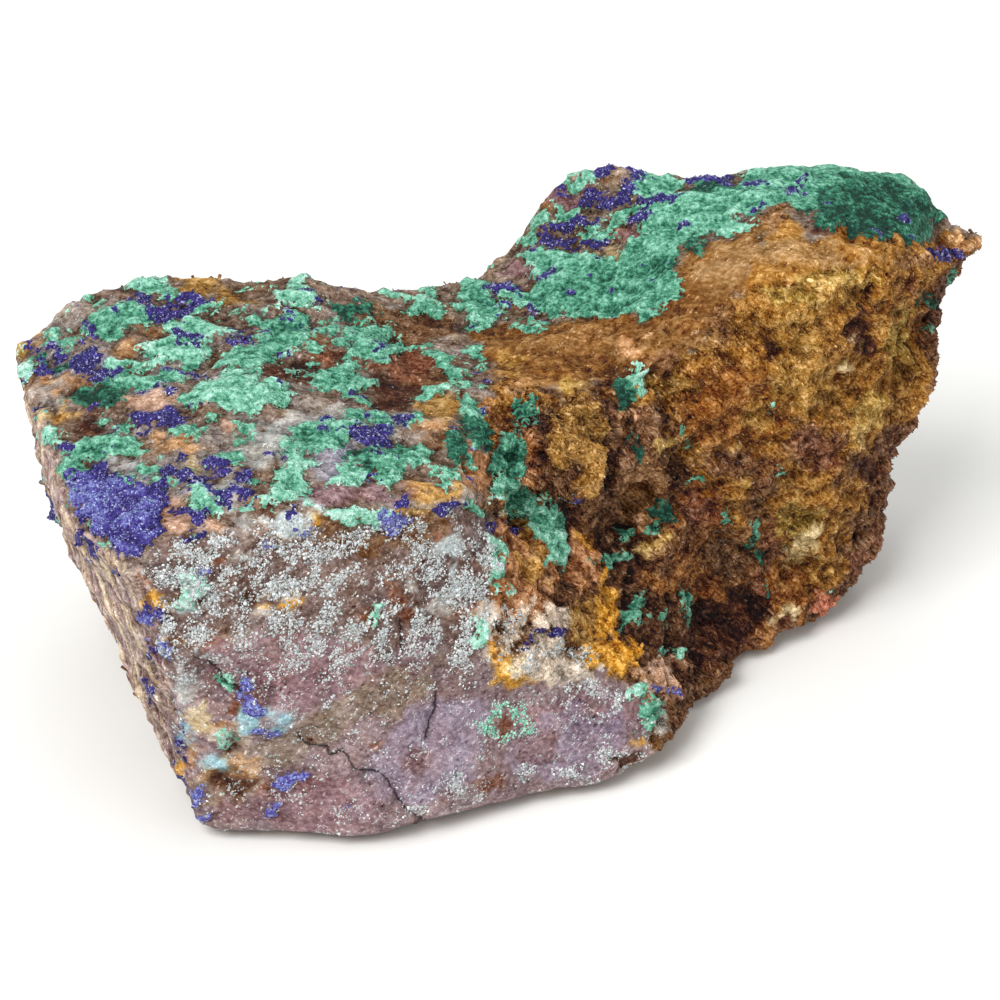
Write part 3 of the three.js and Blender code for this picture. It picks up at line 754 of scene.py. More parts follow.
@dataclass(frozen=True)
class Relief:
    """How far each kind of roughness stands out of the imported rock's skin, in millimetres.

    A pair gives what a smooth break has, and what a fully rough one adds to it.
    """

    cobbles: float = 0.45
    grains: float = 0.35
    lumps: float = 1.3  # the large lumps of the golden face, and its fibres
    fibres: float = 1.1
    swell: tuple[float, float] = (0.08, 0.40)
    teeth: tuple[float, float] = (0.04, 0.42)
    green: tuple[float, float] = (0.10, 0.40)  # the crusts' own thickness, and their knobs
    blue: tuple[float, float] = (0.05, 0.20)
    layers: float = 0.35
    ledges: float = 0.38
    fringe: float = 0.15
    end_cut: float = 0.60  # how far both ends, cracks and hollows are cut in
    right_cut: float = 0.50
    crack_cut: float = 0.55
    hollow_cut: float = 0.60
    level_fill: float = 0.45  # how much less a hollow is cut into level ground
    calm_knobs: float = 0.25  # how much less there is of knobs and ledges on the summit
    calm_ledges: float = 0.20
    rough_from: float = 0.45  # the grain from which lumps and fibres show

    def heights(self, rock: "Geology") -> Array:
        """Adds every kind of roughness up.

        Args:
            rock: What each corner is made of.

        Returns:
            How far each corner stands out, in millimetres.
        """
        skin, grain = rock.skin, rock.grain
        lumps, coarse, fine = skin.cobbles(5.5, 3), skin.cobbles(2.6, 1), skin.cobbles(1.35, 2)
        crust = smooth_step(rock.malachite, -0.1, 0.4)
        blue = smooth_step(rock.azurite, -0.1, 0.4)
        fibres = skin.clouds(1.3, 3, 14, LOBE_GRAIN, 4)
        height = grain * (self.cobbles * (coarse - 0.45) + self.grains * (fine - 0.4))
        rough = np.clip(grain - self.rough_from, 0, 1)
        height += rough * (self.lumps * (lumps - 0.4) + self.fibres * fibres)
        height += (self.swell[0] + self.swell[1] * grain) * rock.swell
        height += (self.teeth[0] + self.teeth[1] * grain) * rock.ragged
        summit = smooth_step(skin.points[:, 2] / MM, 40, 44)
        height += crust * (self.green[0] + (self.green[1] - self.calm_knobs * summit) * fine)
        height += blue * (self.blue[0] + self.blue[1] * fine)
        height += self.layers * rock.layers * rock.bands
        height += rock.level * (self.ledges - self.calm_ledges * summit) * rock.ledges
        height += self.fringe * rock.level * rock.fringe
        low = 1 - smooth_step(skin.points[:, 2] / MM, 38, 42)
        right = smooth_step(skin.normals[:, 0], 0.4, 0.8)
        height -= self.end_cut * rock.layers + self.right_cut * low * right
        height -= self.crack_cut * smooth_step(-np.abs(rock.crack), -0.55, -0.1)
        height -= (self.hollow_cut - self.level_fill * rock.level) * rock.hollow
        return height


@dataclass
class Geology:
    """What each corner of the rock is made of: its ground, its crusts and how rough it is.

    A crust is a score: how many millimetres inside its border a corner lies, and below zero outside. A tone
    goes from 0, dark, to 1, pale. Shares go from 0 to 1. The ragged teeth, the swells, the fringe, the
    ledges and the left-hand end's bands are noises between about -1 and 1.
    """

    skin: Skin
    relief: Relief = Relief()
    green: Habit = Habit(1.9, 51, 0.58, 7.0, 7, 41, 0.46, 0.012, 1.2)
    blue: Habit = Habit(1.7, 52, 0.62, 6.0, 8, 42, 0.52, 0.008, 1.0)
    wander: float = 0.9  # millimetres that the borders of the grounds wander
    patch_cover: float = 0.5  # how thickly patches, stains and layers lie
    stain_and_shade_cover: float = 0.82
    layer_cover: float = 0.6
    taupe_cover: float = 0.45  # the brown under the sugar, and how much darker it is there
    sugar_shade: float = 0.09
    # painted shade along the foot of each crust, where it stands on the ground
    rim_shade: float = 0.08  # how much darker the ground is round a crust
    warmth: Triple = (0.018, 0.0, -0.02)  # how far the ground's red, green and blue drift
    drift: Triple = (0.05, 0.02, 0.08)  # how far its light does: in swells, teeth and the front face
    score_limit: float = 5.0
    crack_reach: float = 0.8  # millimetres from a crack within which it is noted
    sheet_tone: float = 0.5
    hidden_green_tone: float = 0.4
    golden_fade: float = 0.4  # how much less and darker it is on the golden face
    golden_tone: float = 0.25
    rim_tone: float = 0.25  # how much paler malachite is along its border

    def __post_init__(self) -> None:
        """Works everything out, from the ground up."""
        skin = self.skin
        self.ragged = skin.clouds(1.5, 3, 1, TABLE_GRAIN, 2)
        self.swell = skin.clouds(7, 3, 2, TABLE_GRAIN, 2)
        self.ledges = skin.clouds(2.2, 4, 10, TABLE_GRAIN, 4)
        self.bands = skin.clouds(1.3, 4, 11, END_GRAIN, 10)
        self.fringe = self.ragged + 0.8 * skin.clouds(0.9, 2, 9)
        self.purple = skin.outline(PURPLE_FACE)
        self.level = smooth_step(skin.normals[:, 2], 0.5, 0.8) * (1 - self._border(self.purple))
        self._find_barren()
        self._lay_ground()
        self._lay_malachite()
        self._lay_azurite()
        # paints shade into the ground round each crust
        rim = np.maximum(self.malachite, self.azurite)
        self.ground -= self.rim_shade * smooth_step(rim, -0.9, -0.1)[:, None]
        self._dust()
        self._crack()
        self._roughen()
        self.heights = self.relief.heights(self) * MM

    def _border(self, distance: Array, softness: float = 0.5) -> Array:
        """Turns a distance in millimetres into a share, with a wandering border."""
        return smooth_step(distance + self.wander * self.ragged, -softness, softness)

    def _find_barren(self) -> None:
        """Finds where no islands of crust grow: on steep ground, the golden face, and bare stains."""
        skin = self.skin
        stains = [spot for ground, rows in STAINS_AND_SHADE if ground in BARE for spot in rows]
        bare = [skin.outline(corners) for corners in (SHOULDER, TOP_LEDGE, GOLDEN_FACE)]
        bare = np.maximum.reduce([*bare, skin.spots(stains)])
        self.barren = smooth_step(bare, -0.6, 0.4) + 9 * (self.level < 0.5)

    def _lay_ground(self) -> None:
        """Colours the bare rock."""
        skin = self.skin
        regions = (
            (Ground.SLOPE, GREEN_SLOPE), (Ground.LOBE, GOLDEN_FACE), (Ground.LOWER, LOWER_GROUND),
            (Ground.SHOULDER, SHOULDER), (Ground.EDGE, RIGHT_EDGE), (Ground.STRATA, LAYERED_END),
            (Ground.PURPLE, PURPLE_FACE),
        )
        seen = np.tile(Ground.MATRIX.shade(), (len(skin.points), 1))
        patchy = skin.clouds(3.2, 4, 34, TABLE_GRAIN, 2)
        for ground, level in ((Ground.UMBER, 0.08 - patchy), (Ground.ASH, patchy - 0.18)):
            lay(seen, ground, self.patch_cover * smooth_step(level, -0.1, 0.2))
        for ground, corners in regions:
            lay(seen, ground, self._border(skin.outline(corners)))
        self.face = self._border(self.purple)
        self.fade = smooth_step(skin.outline(SUGARED) + 0.8 * self.swell, -7, 0.5)
        faded = self.face * self.fade
        lay(seen, Ground.TAUPE, self.taupe_cover * faded)
        seen -= self.sugar_shade * faded[:, None]
        # lays the stains; the dark spots among them are partly painted shade
        for ground, rows in STAINS_AND_SHADE:
            depth = skin.spots(rows) + 0.6 * self.fringe
            lay(seen, ground, self.stain_and_shade_cover * smooth_step(depth, -0.25, 0.45))
        layered = self._border(skin.outline(LAYERED_END))
        for ground, level in ((Ground.CREAM, self.bands - 0.3), (Ground.MAUVE, -0.15 - self.bands)):
            lay(seen, ground, self.layer_cover * layered * smooth_step(level, -0.1, 0.25))
        hidden = self._hidden_ground()
        self.ground = np.stack([skin.extend(seen[:, i], hidden[:, i]) for i in range(3)], axis=1)
        swells, teeth, front = self.drift
        warmth = skin.clouds(2.6, 4, 31)[:, None] * np.array(self.warmth)
        self.ground += (swells * self.swell + teeth * self.ragged)[:, None] + warmth
        self.ground += (front * self.face * skin.clouds(4, 4, 35))[:, None]

    def _hidden_ground(self) -> Array:
        """Colours the sides that the viewpoint does not see: rusty, with golden and dark fields.

        Returns:
            The display colours.
        """
        skin = self.skin
        colours = np.tile(Ground.BACK.shade(), (len(skin.points), 1))
        fields = (
            (Ground.LOBE, 0.7, skin.clouds(16, 4, 3) - 0.02),
            (Ground.MATRIX, 0.6, skin.clouds(12, 4, 4) - 0.12),
            (Ground.STRATA, 0.9, -skin.normals[:, 0] - 0.55),
            (Ground.BROWN, 0.7, skin.clouds(9, 5, 5) - 0.15),
            (Ground.EDGE, 0.7, skin.clouds(6, 5, 37) - 0.28),
            (Ground.DARK, 0.5, skin.clouds(5, 5, 38) - 0.40),
            (Ground.GOLD, 0.6, skin.clouds(6, 5, 6) - 0.36),
            (Ground.BROWN, 0.8, -skin.normals[:, 2] - 0.75),
        )
        for ground, cover, level in fields:
            lay(colours, ground, cover * smooth_step(level + 0.12 * self.ragged, -0.12, 0.25))
        return colours

    def _limit(self, score: Array) -> Array:
        """A score, cut off far inside and far outside."""
        return np.clip(score, -self.score_limit, self.score_limit)

    def _lay_malachite(self) -> None:
        """Finds the green crusts, and how pale each is."""
        skin = self.skin
        depths = [skin.spots(rows) for _, rows in MALACHITE_BEDS]
        sheet = np.minimum(skin.outline(GREEN_SUMMIT) - 0.9, -skin.spots(SHEET_GAPS))
        islands = self.green.islands(skin) - self.barren
        weights = [np.clip(depth + 0.8, 0.01, 3) ** 2 for depth in depths]
        weights.append(np.clip(sheet + 0.5, 0.01, 1) ** 2)
        tones = [tone for tone, _ in MALACHITE_BEDS] + [self.sheet_tone]
        golden = self._border(skin.outline(GOLDEN_FACE))
        painted = np.maximum.reduce([*depths, np.minimum(sheet, 0.8 + 1.2 * self.swell), islands])
        painted = np.maximum(painted - self.golden_fade * golden, -self.score_limit)
        tone = sum(weight * tone for weight, tone in zip(weights, tones)) / sum(weights)
        painted += 0.38 * self.fringe + 0.2
        self.malachite = self._limit(skin.extend(painted, self.green.patches(skin)))
        self.malachite_tone = skin.extend(tone, self.hidden_green_tone + 0.3 * self.swell)
        rim = 1 - smooth_step(self.malachite, 0.1, 0.8)
        self.malachite_tone += self.rim_tone * rim - self.golden_tone * golden

    def _lay_azurite(self) -> None:
        """Finds the blue crusts, and how bright each is."""
        skin = self.skin
        dark = skin.spots(AZURITE_DARK)
        bright = skin.spots(AZURITE_BRIGHT)
        corner = skin.outline(INDIGO_CORNER)
        islands = self.blue.islands(skin) - self.barren
        painted = np.maximum(np.maximum.reduce([dark, bright, corner, islands]), -self.score_limit)
        tone = smooth_step(bright - np.maximum(dark, corner - 1.5), -0.5, 0.5)
        tone = np.maximum(tone, smooth_step(corner, 0, 0.6) * np.clip(0.6 + 0.8 * self.fringe, 0, 1))
        self.azurite = self._limit(skin.extend(painted + 0.35 * self.fringe, self.blue.patches(skin)))
        self.azurite_tone = skin.extend(tone, np.zeros(len(tone)))

    def _dust(self) -> None:
        """Spreads the pale sugar of the front face."""
        skin = self.skin
        clump = np.clip(0.47 + 1.8 * skin.clouds(2.2, 4, 12), 0, 1.25)
        clump *= 1 - 0.6 * smooth_step(skin.spots(BARE_SPOTS), -1.2, 2.0)
        sugar = self.face * (0.03 + (0.13 + 0.65 * self.fade**1.5) * clump)
        sugar = np.maximum(sugar, 0.6 * clump * smooth_step(skin.spots(SUGAR_SPOTS), -0.9, 0.6))
        sugar = np.maximum(sugar, 0.7 * smooth_step(skin.spots(GREEN_RING), -0.2, 0.4))
        sugar *= smooth_step(-skin.spots(RING_CORE), -0.2, 0.1)
        self.sugar = skin.extend(sugar, np.zeros(len(sugar)))

    def _crack(self) -> None:
        """Finds the cracks: how far from the nearest each corner lies, below zero on its left."""
        runs = np.stack([self.skin.run(run) for run in CRACKS])
        nearest = np.take_along_axis(runs, np.abs(runs).argmin(axis=0)[None], axis=0)[0]
        far = np.copysign(self.score_limit, nearest)
        self.crack = np.where(np.abs(nearest) < self.crack_reach, nearest, far)
        self.crack[~self.skin.seen] = self.score_limit

    def _roughen(self) -> None:
        """Finds how granular, how layered and how hollow the rock is."""
        skin = self.skin
        lump = skin.outline(LOBE_LUMP)
        grain = 0.45 + 0.55 * self._border(np.maximum(skin.outline(GOLDEN_FACE), lump))
        grain = np.where(skin.outline(SHOULDER) > 0, 0.45, grain)
        grain -= 0.6 * self._border(skin.outline(TOP_LEDGE))
        grain += 0.35 * self._border(lump)
        grain *= 1 - 0.93 * self._border(self.purple)
        self.grain = skin.extend(grain, np.clip(0.62 + 0.5 * skin.clouds(11, 3, 39), 0.35, 1.0))
        left = smooth_step(-skin.normals[:, 0], 0.35, 0.7)
        self.layers = skin.extend(self._border(skin.outline(LAYERED_END)), left)
        # the dark spots, partly painted shade, are also where the rock is cut into hollows
        pits = next(rows for ground, rows in STAINS_AND_SHADE if ground is Ground.DARK)
        self.hollow = skin.extend(smooth_step(skin.spots(pits), -0.2, 0.6), np.zeros(len(grain)))

    def paint_crest_light_and_hollow_shade(self) -> None:
        """Paints shade into the raised skin's hollows, and paints light onto ground and crusts on its
        crests.
        """
        fine = np.clip(self.skin.standing(10) / 0.16, -1, 1)
        coarse = np.clip(self.skin.standing(90) / 0.9, -1, 1)
        rough = 0.35 + 0.65 * np.clip(2 * self.grain, 0, 1)
        standing = 0.45 * fine + 0.4 * coarse
        standing *= rough * np.where(standing > 0, 0.7, 1.0)
        # painted shade in the hollows and painted light on the crests, at two sizes
        self.ground *= 1 + 0.20 * standing[:, None]
        # painted light also where the left-hand end's bands and the table's ledges stand out
        light = 0.09 * standing + 0.05 * self.layers * self.bands + 0.03 * self.level * self.ledges
        self.ground = np.clip(self.ground + light[:, None], 0.02, 0.95)
        # the crusts are painted paler on the crests too, as painted light
        self.malachite_tone += 0.25 * fine + 0.15 * coarse + 0.12 * self.fringe
        self.azurite_tone = np.clip(self.azurite_tone + 0.3 * np.clip(fine, 0, 1), 0, 1)


# ---------- the rock


def add_attribute(mesh: bpy.types.Mesh, name: str, *values: Array) -> None:
    """Stores three values for each corner of a mesh.

    Args:
        mesh: The mesh.
        name: The name that materials read.
        values: The values, as three arrays or with one corner to a row of one array.
    """
    rows = values[0] if len(values) == 1 else np.stack(values, axis=1)
    layer = mesh.attributes.new(name, "FLOAT_VECTOR", "POINT")
    layer.data.foreach_set("vector", rows.astype(np.float32).ravel())


@dataclass
class RockBody:
    """The one solid block, with a skin fine enough for its grains and crusts."""

    view: Viewpoint
    doubles: float = 0.001 * MM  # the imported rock's corners that lie closer than this are one
    voxel: float = 0.53 * MM
    smoothing: int = 2  # rounds that even out the remeshed skin
    foot: float = 0.3 * MM  # what lies lower than this is level ground contact
    rising: tuple[float, float] = (0.2, 2.0)  # millimetres up, from no relief to all of it

    def build(self, node: Piece) -> tuple[Piece, Skin, Geology]:
        """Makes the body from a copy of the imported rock.

        Args:
            node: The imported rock, which stays as it is.

        Returns:
            The body, its surface as arrays, and what each part of it is made of.
        """
        rock = node.copy()
        rock.data = node.data.copy()
        rock.name = rock.data.name = "rock_body"
        rock.parent = None
        bpy.context.collection.objects.link(rock)
        bpy.ops.object.select_all(action="DESELECT")
        rock.select_set(True)
        bpy.context.view_layer.objects.active = rock
        bpy.ops.object.mode_set(mode="EDIT")
        bpy.ops.mesh.select_all(action="SELECT")
        bpy.ops.mesh.remove_doubles(threshold=self.doubles)
        bpy.ops.object.mode_set(mode="OBJECT")
        self._refine(rock)
        skin = Skin(rock, self.view)
        geology = Geology(skin)
        self._raise_relief(rock, skin, geology)
        # paints shade into the hollows and light onto the crests of the ground and the crusts
        geology.paint_crest_light_and_hollow_shade()
        # the ground colour carries the painted shade and light as well
        add_attribute(rock.data, "ground", geology.ground)
        add_attribute(rock.data, "crusts", geology.malachite, geology.malachite_tone, geology.azurite)
        add_attribute(rock.data, "dusts", geology.azurite_tone, geology.sugar, geology.crack)
        add_attribute(rock.data, "textures", geology.grain, geology.layers, geology.hollow)
        return rock, skin, geology

    def _refine(self, rock: Piece) -> None:
        """Gives the rock one even, closed skin of small faces.

        Args:
            rock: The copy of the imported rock.
        """
        remesh = rock.modifiers.new("fine_skin", "REMESH")
        remesh.mode = "VOXEL"
        remesh.voxel_size = self.voxel
        bpy.ops.object.modifier_apply(modifier=remesh.name)
        smooth = rock.modifiers.new("even_skin", "SMOOTH")
        smooth.iterations = self.smoothing
        bpy.ops.object.modifier_apply(modifier=smooth.name)
        bpy.ops.object.shade_smooth()

    def _raise_relief(self, rock: Piece, skin: Skin, geology: Geology) -> None:
        """Moves the skin in and out by its relief, and leaves it level where it stands.

        Args:
            rock: The mesh object.
            skin: Its surface as arrays, which moves with it.
            geology: What each corner is made of.
        """
        heights = geology.heights * smooth_step(skin.points[:, 2] / MM, *self.rising)
        skin.points += skin.normals * heights[:, None]
        skin.points[:, 2] = np.where(skin.points[:, 2] < self.foot, 0.0, skin.points[:, 2])
        rock.data.vertices.foreach_set("co", skin.points.astype(np.float32).ravel())
        rock.data.update()
        skin.normals = read_array(rock.data.vertices, "normal", 3).astype(float)


# ---------- crystals and grains


@dataclass(frozen=True)
class Shape:
    """A small closed shape of triangles, one unit high, that is copied many times."""

    points: Array
    faces: Array

    def rise(self) -> Array:
        """How high each corner stands, from 0 at the root to 1 at the tip."""
        height = self.points[:, 2]
        return (height - height.min()) / (height.max() - height.min())

    def flat(self) -> Array:
        """Where each corner lies in the shape's own cell of a map, across and up, from 0 to 1."""
        side = self.points[:, 0] + 0.5 * self.points[:, 1]
        return np.stack([(side - side.min()) / (side.max() - side.min()), self.rise()], axis=1)


class Carver:
    """Models the small shapes, each in edit mode, and hands them over as arrays."""

    @staticmethod
    def _finish(name: str) -> Shape:
        """Turns the mesh being edited into a shape of triangles, and removes its object.

        Args:
            name: The shape's name while it is an object.

        Returns:
            The shape.
        """
        bpy.ops.mesh.select_all(action="SELECT")
        bpy.ops.mesh.normals_make_consistent(inside=False)
        bpy.ops.mesh.quads_convert_to_tris()
        bpy.ops.object.mode_set(mode="OBJECT")
        piece = bpy.context.object
        piece.name = name
        points = read_array(piece.data.vertices, "co", 3).astype(float)
        faces = np.array([list(face.vertices) for face in piece.data.polygons], np.int32)
        bpy.data.objects.remove(piece)
        return Shape(points, faces)

    @staticmethod
    def _needle(length: float, radius: float) -> None:
        """Adds a three-sided needle that stands on the origin.

        Args:
            length: How long it is.
            radius: How thick its foot is.
        """
        middle = (0, 0, length / 2)
        bpy.ops.mesh.primitive_cone_add(
            vertices=3, radius1=radius, radius2=0, depth=length, location=middle
        )

    @classmethod
    def tuft(cls, blades: int = 6, lean: float = 34) -> Shape:
        """Models a fan of needles from one root.

        Args:
            blades: How many needles lean out round the upright one.
            lean: How far they lean, in degrees.

        Returns:
            The tuft.
        """
        root = (0, 0, 0)
        cls._needle(1.0, 0.2)
        bpy.ops.object.mode_set(mode="EDIT")
        for blade in range(blades):
            bpy.ops.mesh.select_all(action="DESELECT")
            cls._needle(0.72 + 0.2 * math.sin(2.4 * blade), 0.19)
            bpy.ops.transform.rotate(value=math.radians(lean), orient_axis="X", center_override=root)
            turn = math.tau * blade / blades + 0.5 * math.sin(3.1 * blade)
            bpy.ops.transform.rotate(value=turn, orient_axis="Z", center_override=root)
        return cls._finish("tuft")

    @classmethod
    def prism(cls, slant: float = 24) -> Shape:
        """Models a stubby crystal with a narrower top.

        Args:
            slant: How far the top slants, in degrees.

        Returns:
            The crystal.
        """
        top = (0, 0, 1)
        bpy.ops.mesh.primitive_cylinder_add(vertices=4, radius=0.5, depth=1, location=(0, 0, 0.5))
        bpy.ops.object.mode_set(mode="EDIT")
        bpy.ops.mesh.select_all(action="DESELECT")
        mesh = bpy.context.edit_object.data
        bpy.ops.object.mode_set(mode="OBJECT")
        for corner in mesh.vertices:
            corner.select = corner.co.z > 0
        bpy.ops.object.mode_set(mode="EDIT")
        bpy.ops.transform.resize(value=(0.62, 0.45, 1), center_override=top)
        bpy.ops.transform.rotate(value=math.radians(slant), orient_axis="Y", center_override=top)
        return cls._finish("prism")

    @classmethod
    def nugget(cls, seed: int, knobs: float = 0.24) -> Shape:
        """Models a knobbly grain.

        Args:
            seed: Which grain of its kind it is.
            knobs: How far its corners are moved at most.

        Returns:
            The grain.
        """
        bpy.ops.mesh.primitive_ico_sphere_add(subdivisions=1, radius=0.5, location=(0, 0, 0.5))
        bpy.ops.object.mode_set(mode="EDIT")
        bpy.ops.mesh.select_all(action="SELECT")
        bpy.ops.transform.vertex_random(offset=knobs, seed=seed)
        return cls._finish("nugget")

    @classmethod
    def sugar(cls) -> Shape:
        """Models a tiny grain with eight faces, longer than it is wide.

        Returns:
            The grain.
        """
        middle = (0, 0, 0.5)
        bpy.ops.mesh.primitive_uv_sphere_add(segments=4, ring_count=2, radius=0.5, location=middle)
        bpy.ops.object.mode_set(mode="EDIT")
        bpy.ops.mesh.select_all(action="SELECT")
        bpy.ops.transform.resize(value=(1.1, 0.8, 1), center_override=middle)
        return cls._finish("sugar")


@dataclass
class CrystalBed:
    """Many small crystals of one mineral, grown on the rock and joined into one piece."""

    name: str
    slot: str
    count: int
    seed: int
    shapes: Sequence[Shape]
    size: tuple[float, float]  # smallest and largest, in millimetres
    girth: tuple[float, float]  # least and greatest width for the height
    lean: float = 0.5  # how far the crystals lean, as a share of upright
    sink: float = 0.35  # the share of each that is in the rock
    light: float = 0.05  # how far the crystals' brightness varies
    drift: Triple = (0.0, 0.0, 0.0)  # where they lean together, and how far
    # pale crystals: the azurite's pale specks, and painted glints
    pale_and_glint_share: float = 0.0  # the share of pale ones
    pale_and_glint_colour: Colour = (0.74, 0.76, 0.84)
    pale_and_glint_cover: float = 0.6  # how strongly a pale one is painted pale
    margin: float = 0.15  # the part of a cell of the map that stays free on each side

    def grow(self, skin: Skin, weight: Array, root: Array, tip: Array) -> Piece:
        """Scatters the crystals.

        Args:
            skin: The rock's surface.
            weight: How thickly they stand at each corner of the surface.
            root: The display colour of the crystals' roots at each corner.
            tip: The display colour of their tips.

        Returns:
            The joined piece.
        """
        chance = np.random.default_rng(self.seed)
        face, share = self._places(skin, weight, chance)
        place = self._blend(skin.points, face, share)
        axis = self._unit(self._blend(skin.normals, face, share))
        axis = self._unit(axis + self.lean * chance.normal(size=axis.shape) + np.array(self.drift))
        across = self._unit(np.cross(axis, chance.normal(size=axis.shape)))
        along = np.cross(axis, across)
        height = chance.uniform(*self.size, self.count) * MM
        width = height * chance.uniform(*self.girth, self.count)
        depth = width * chance.uniform(0.75, 1.0, self.count)
        kind = chance.integers(len(self.shapes), size=self.count)
        glow = self.light * chance.normal(size=(self.count, 1))
        # a share of the crystals is painted pale: pale specks, and painted glints
        pale = self.pale_and_glint_cover * (chance.uniform(size=(self.count, 1)) < self.pale_and_glint_share)
        pale_and_glint_colour = np.array(self.pale_and_glint_colour) * pale
        root_colour = (self._blend(root, face, share) + glow) * (1 - pale) + pale_and_glint_colour
        tip_colour = (self._blend(tip, face, share) + glow) * (1 - pale) + pale_and_glint_colour
        sides = [across * width[:, None], along * depth[:, None], axis * height[:, None]]
        turned = np.stack(sides, axis=1)
        place = place - axis * (self.sink * height)[:, None]
        parts = []
        for number, shape in enumerate(self.shapes):
            mine = np.flatnonzero(kind == number)
            corners = np.einsum("kc,ncd->nkd", shape.points, turned[mine]) + place[mine][:, None]
            # each crystal runs from its root colour up to its tip colour; darker roots are painted shade at
            # the crystals' feet
            rise = shape.rise()[None, :, None]
            tint = root_colour[mine][:, None] * (1 - rise) + tip_colour[mine][:, None] * rise
            parts.append((mine, shape, corners, tint))
        return self._join(parts)

    def _places(self, skin: Skin, weight: Array, chance: np.random.Generator) -> tuple[Array, Array]:
        """Picks places on the surface.

        Args:
            skin: The rock's surface.
            weight: How thickly crystals stand at each of its corners.
            chance: The bed's random numbers.

        Returns:
            The three corners of each place's face, and the share of each.
        """
        first, second, third = skin.points[skin.triangles].transpose(1, 0, 2)
        area = np.linalg.norm(np.cross(second - first, third - first), axis=1)
        likely = area * weight[skin.triangles].mean(axis=1)
        picked = chance.choice(len(area), size=self.count, p=likely / likely.sum())
        share = chance.dirichlet((1, 1, 1), self.count)
        return skin.triangles[picked], share

    @staticmethod
    def _blend(values: Array, face: Array, share: Array) -> Array:
        """Values at places inside faces, from those at the faces' corners."""
        return np.einsum("nk,nkd->nd", share, values[face])

    @staticmethod
    def _unit(vectors: Array) -> Array:
        """Vectors at length one."""
        return vectors / np.linalg.norm(vectors, axis=1, keepdims=True)

    def _join(self, parts: Sequence[tuple[Array, Shape, Array, Array]]) -> Piece:
        """Makes one mesh of all copies, each with its tint and its own cell of the map.

        Args:
            parts: For each shape, its copies' numbers, the shape, and the copies' corners and tints.

        Returns:
            The joined piece.
        """
        points, faces, tints, cells = [], [], [], []
        side = math.ceil(math.sqrt(self.count))
        start = 0
        for mine, shape, corners, tint in parts:
            offset = start + np.arange(len(mine))[:, None, None] * len(shape.points)
            faces.append((shape.faces[None] + offset).reshape(-1, 3))
            cell = np.stack([mine % side, mine // side], axis=1)[:, None, None]
            inside = (1 - 2 * self.margin) * shape.flat()[shape.faces][None]
            cells.append(((cell + self.margin + inside) / side).reshape(-1, 2))
            points.append(corners.reshape(-1, 3))
            tints.append(tint.reshape(-1, 3))
            start += len(mine) * len(shape.points)
        mesh = bpy.data.meshes.new(self.name)
        all_points, all_faces = np.concatenate(points), np.concatenate(faces)
        mesh.vertices.add(len(all_points))
        mesh.vertices.foreach_set("co", all_points.astype(np.float32).ravel())
        mesh.loops.add(all_faces.size)
        mesh.loops.foreach_set("vertex_index", all_faces.astype(np.int32).ravel())
        mesh.polygons.add(len(all_faces))
        mesh.polygons.foreach_set("loop_start", np.arange(0, all_faces.size, 3, dtype=np.int32))
        layer = mesh.uv_layers.new(name="OFBake")
        layer.data.foreach_set("uv", np.concatenate(cells).astype(np.float32).ravel())
        add_attribute(mesh, "tint", np.concatenate(tints))
        mesh.update(calc_edges=True)
        mesh.validate()
        piece = bpy.data.objects.new(self.name, mesh)
        bpy.context.collection.objects.link(piece)
        return piece


# ---------- finishes

FLOAT, VECTOR, COLOUR = "NodeSocketFloat", "NodeSocketVector", "NodeSocketColor"


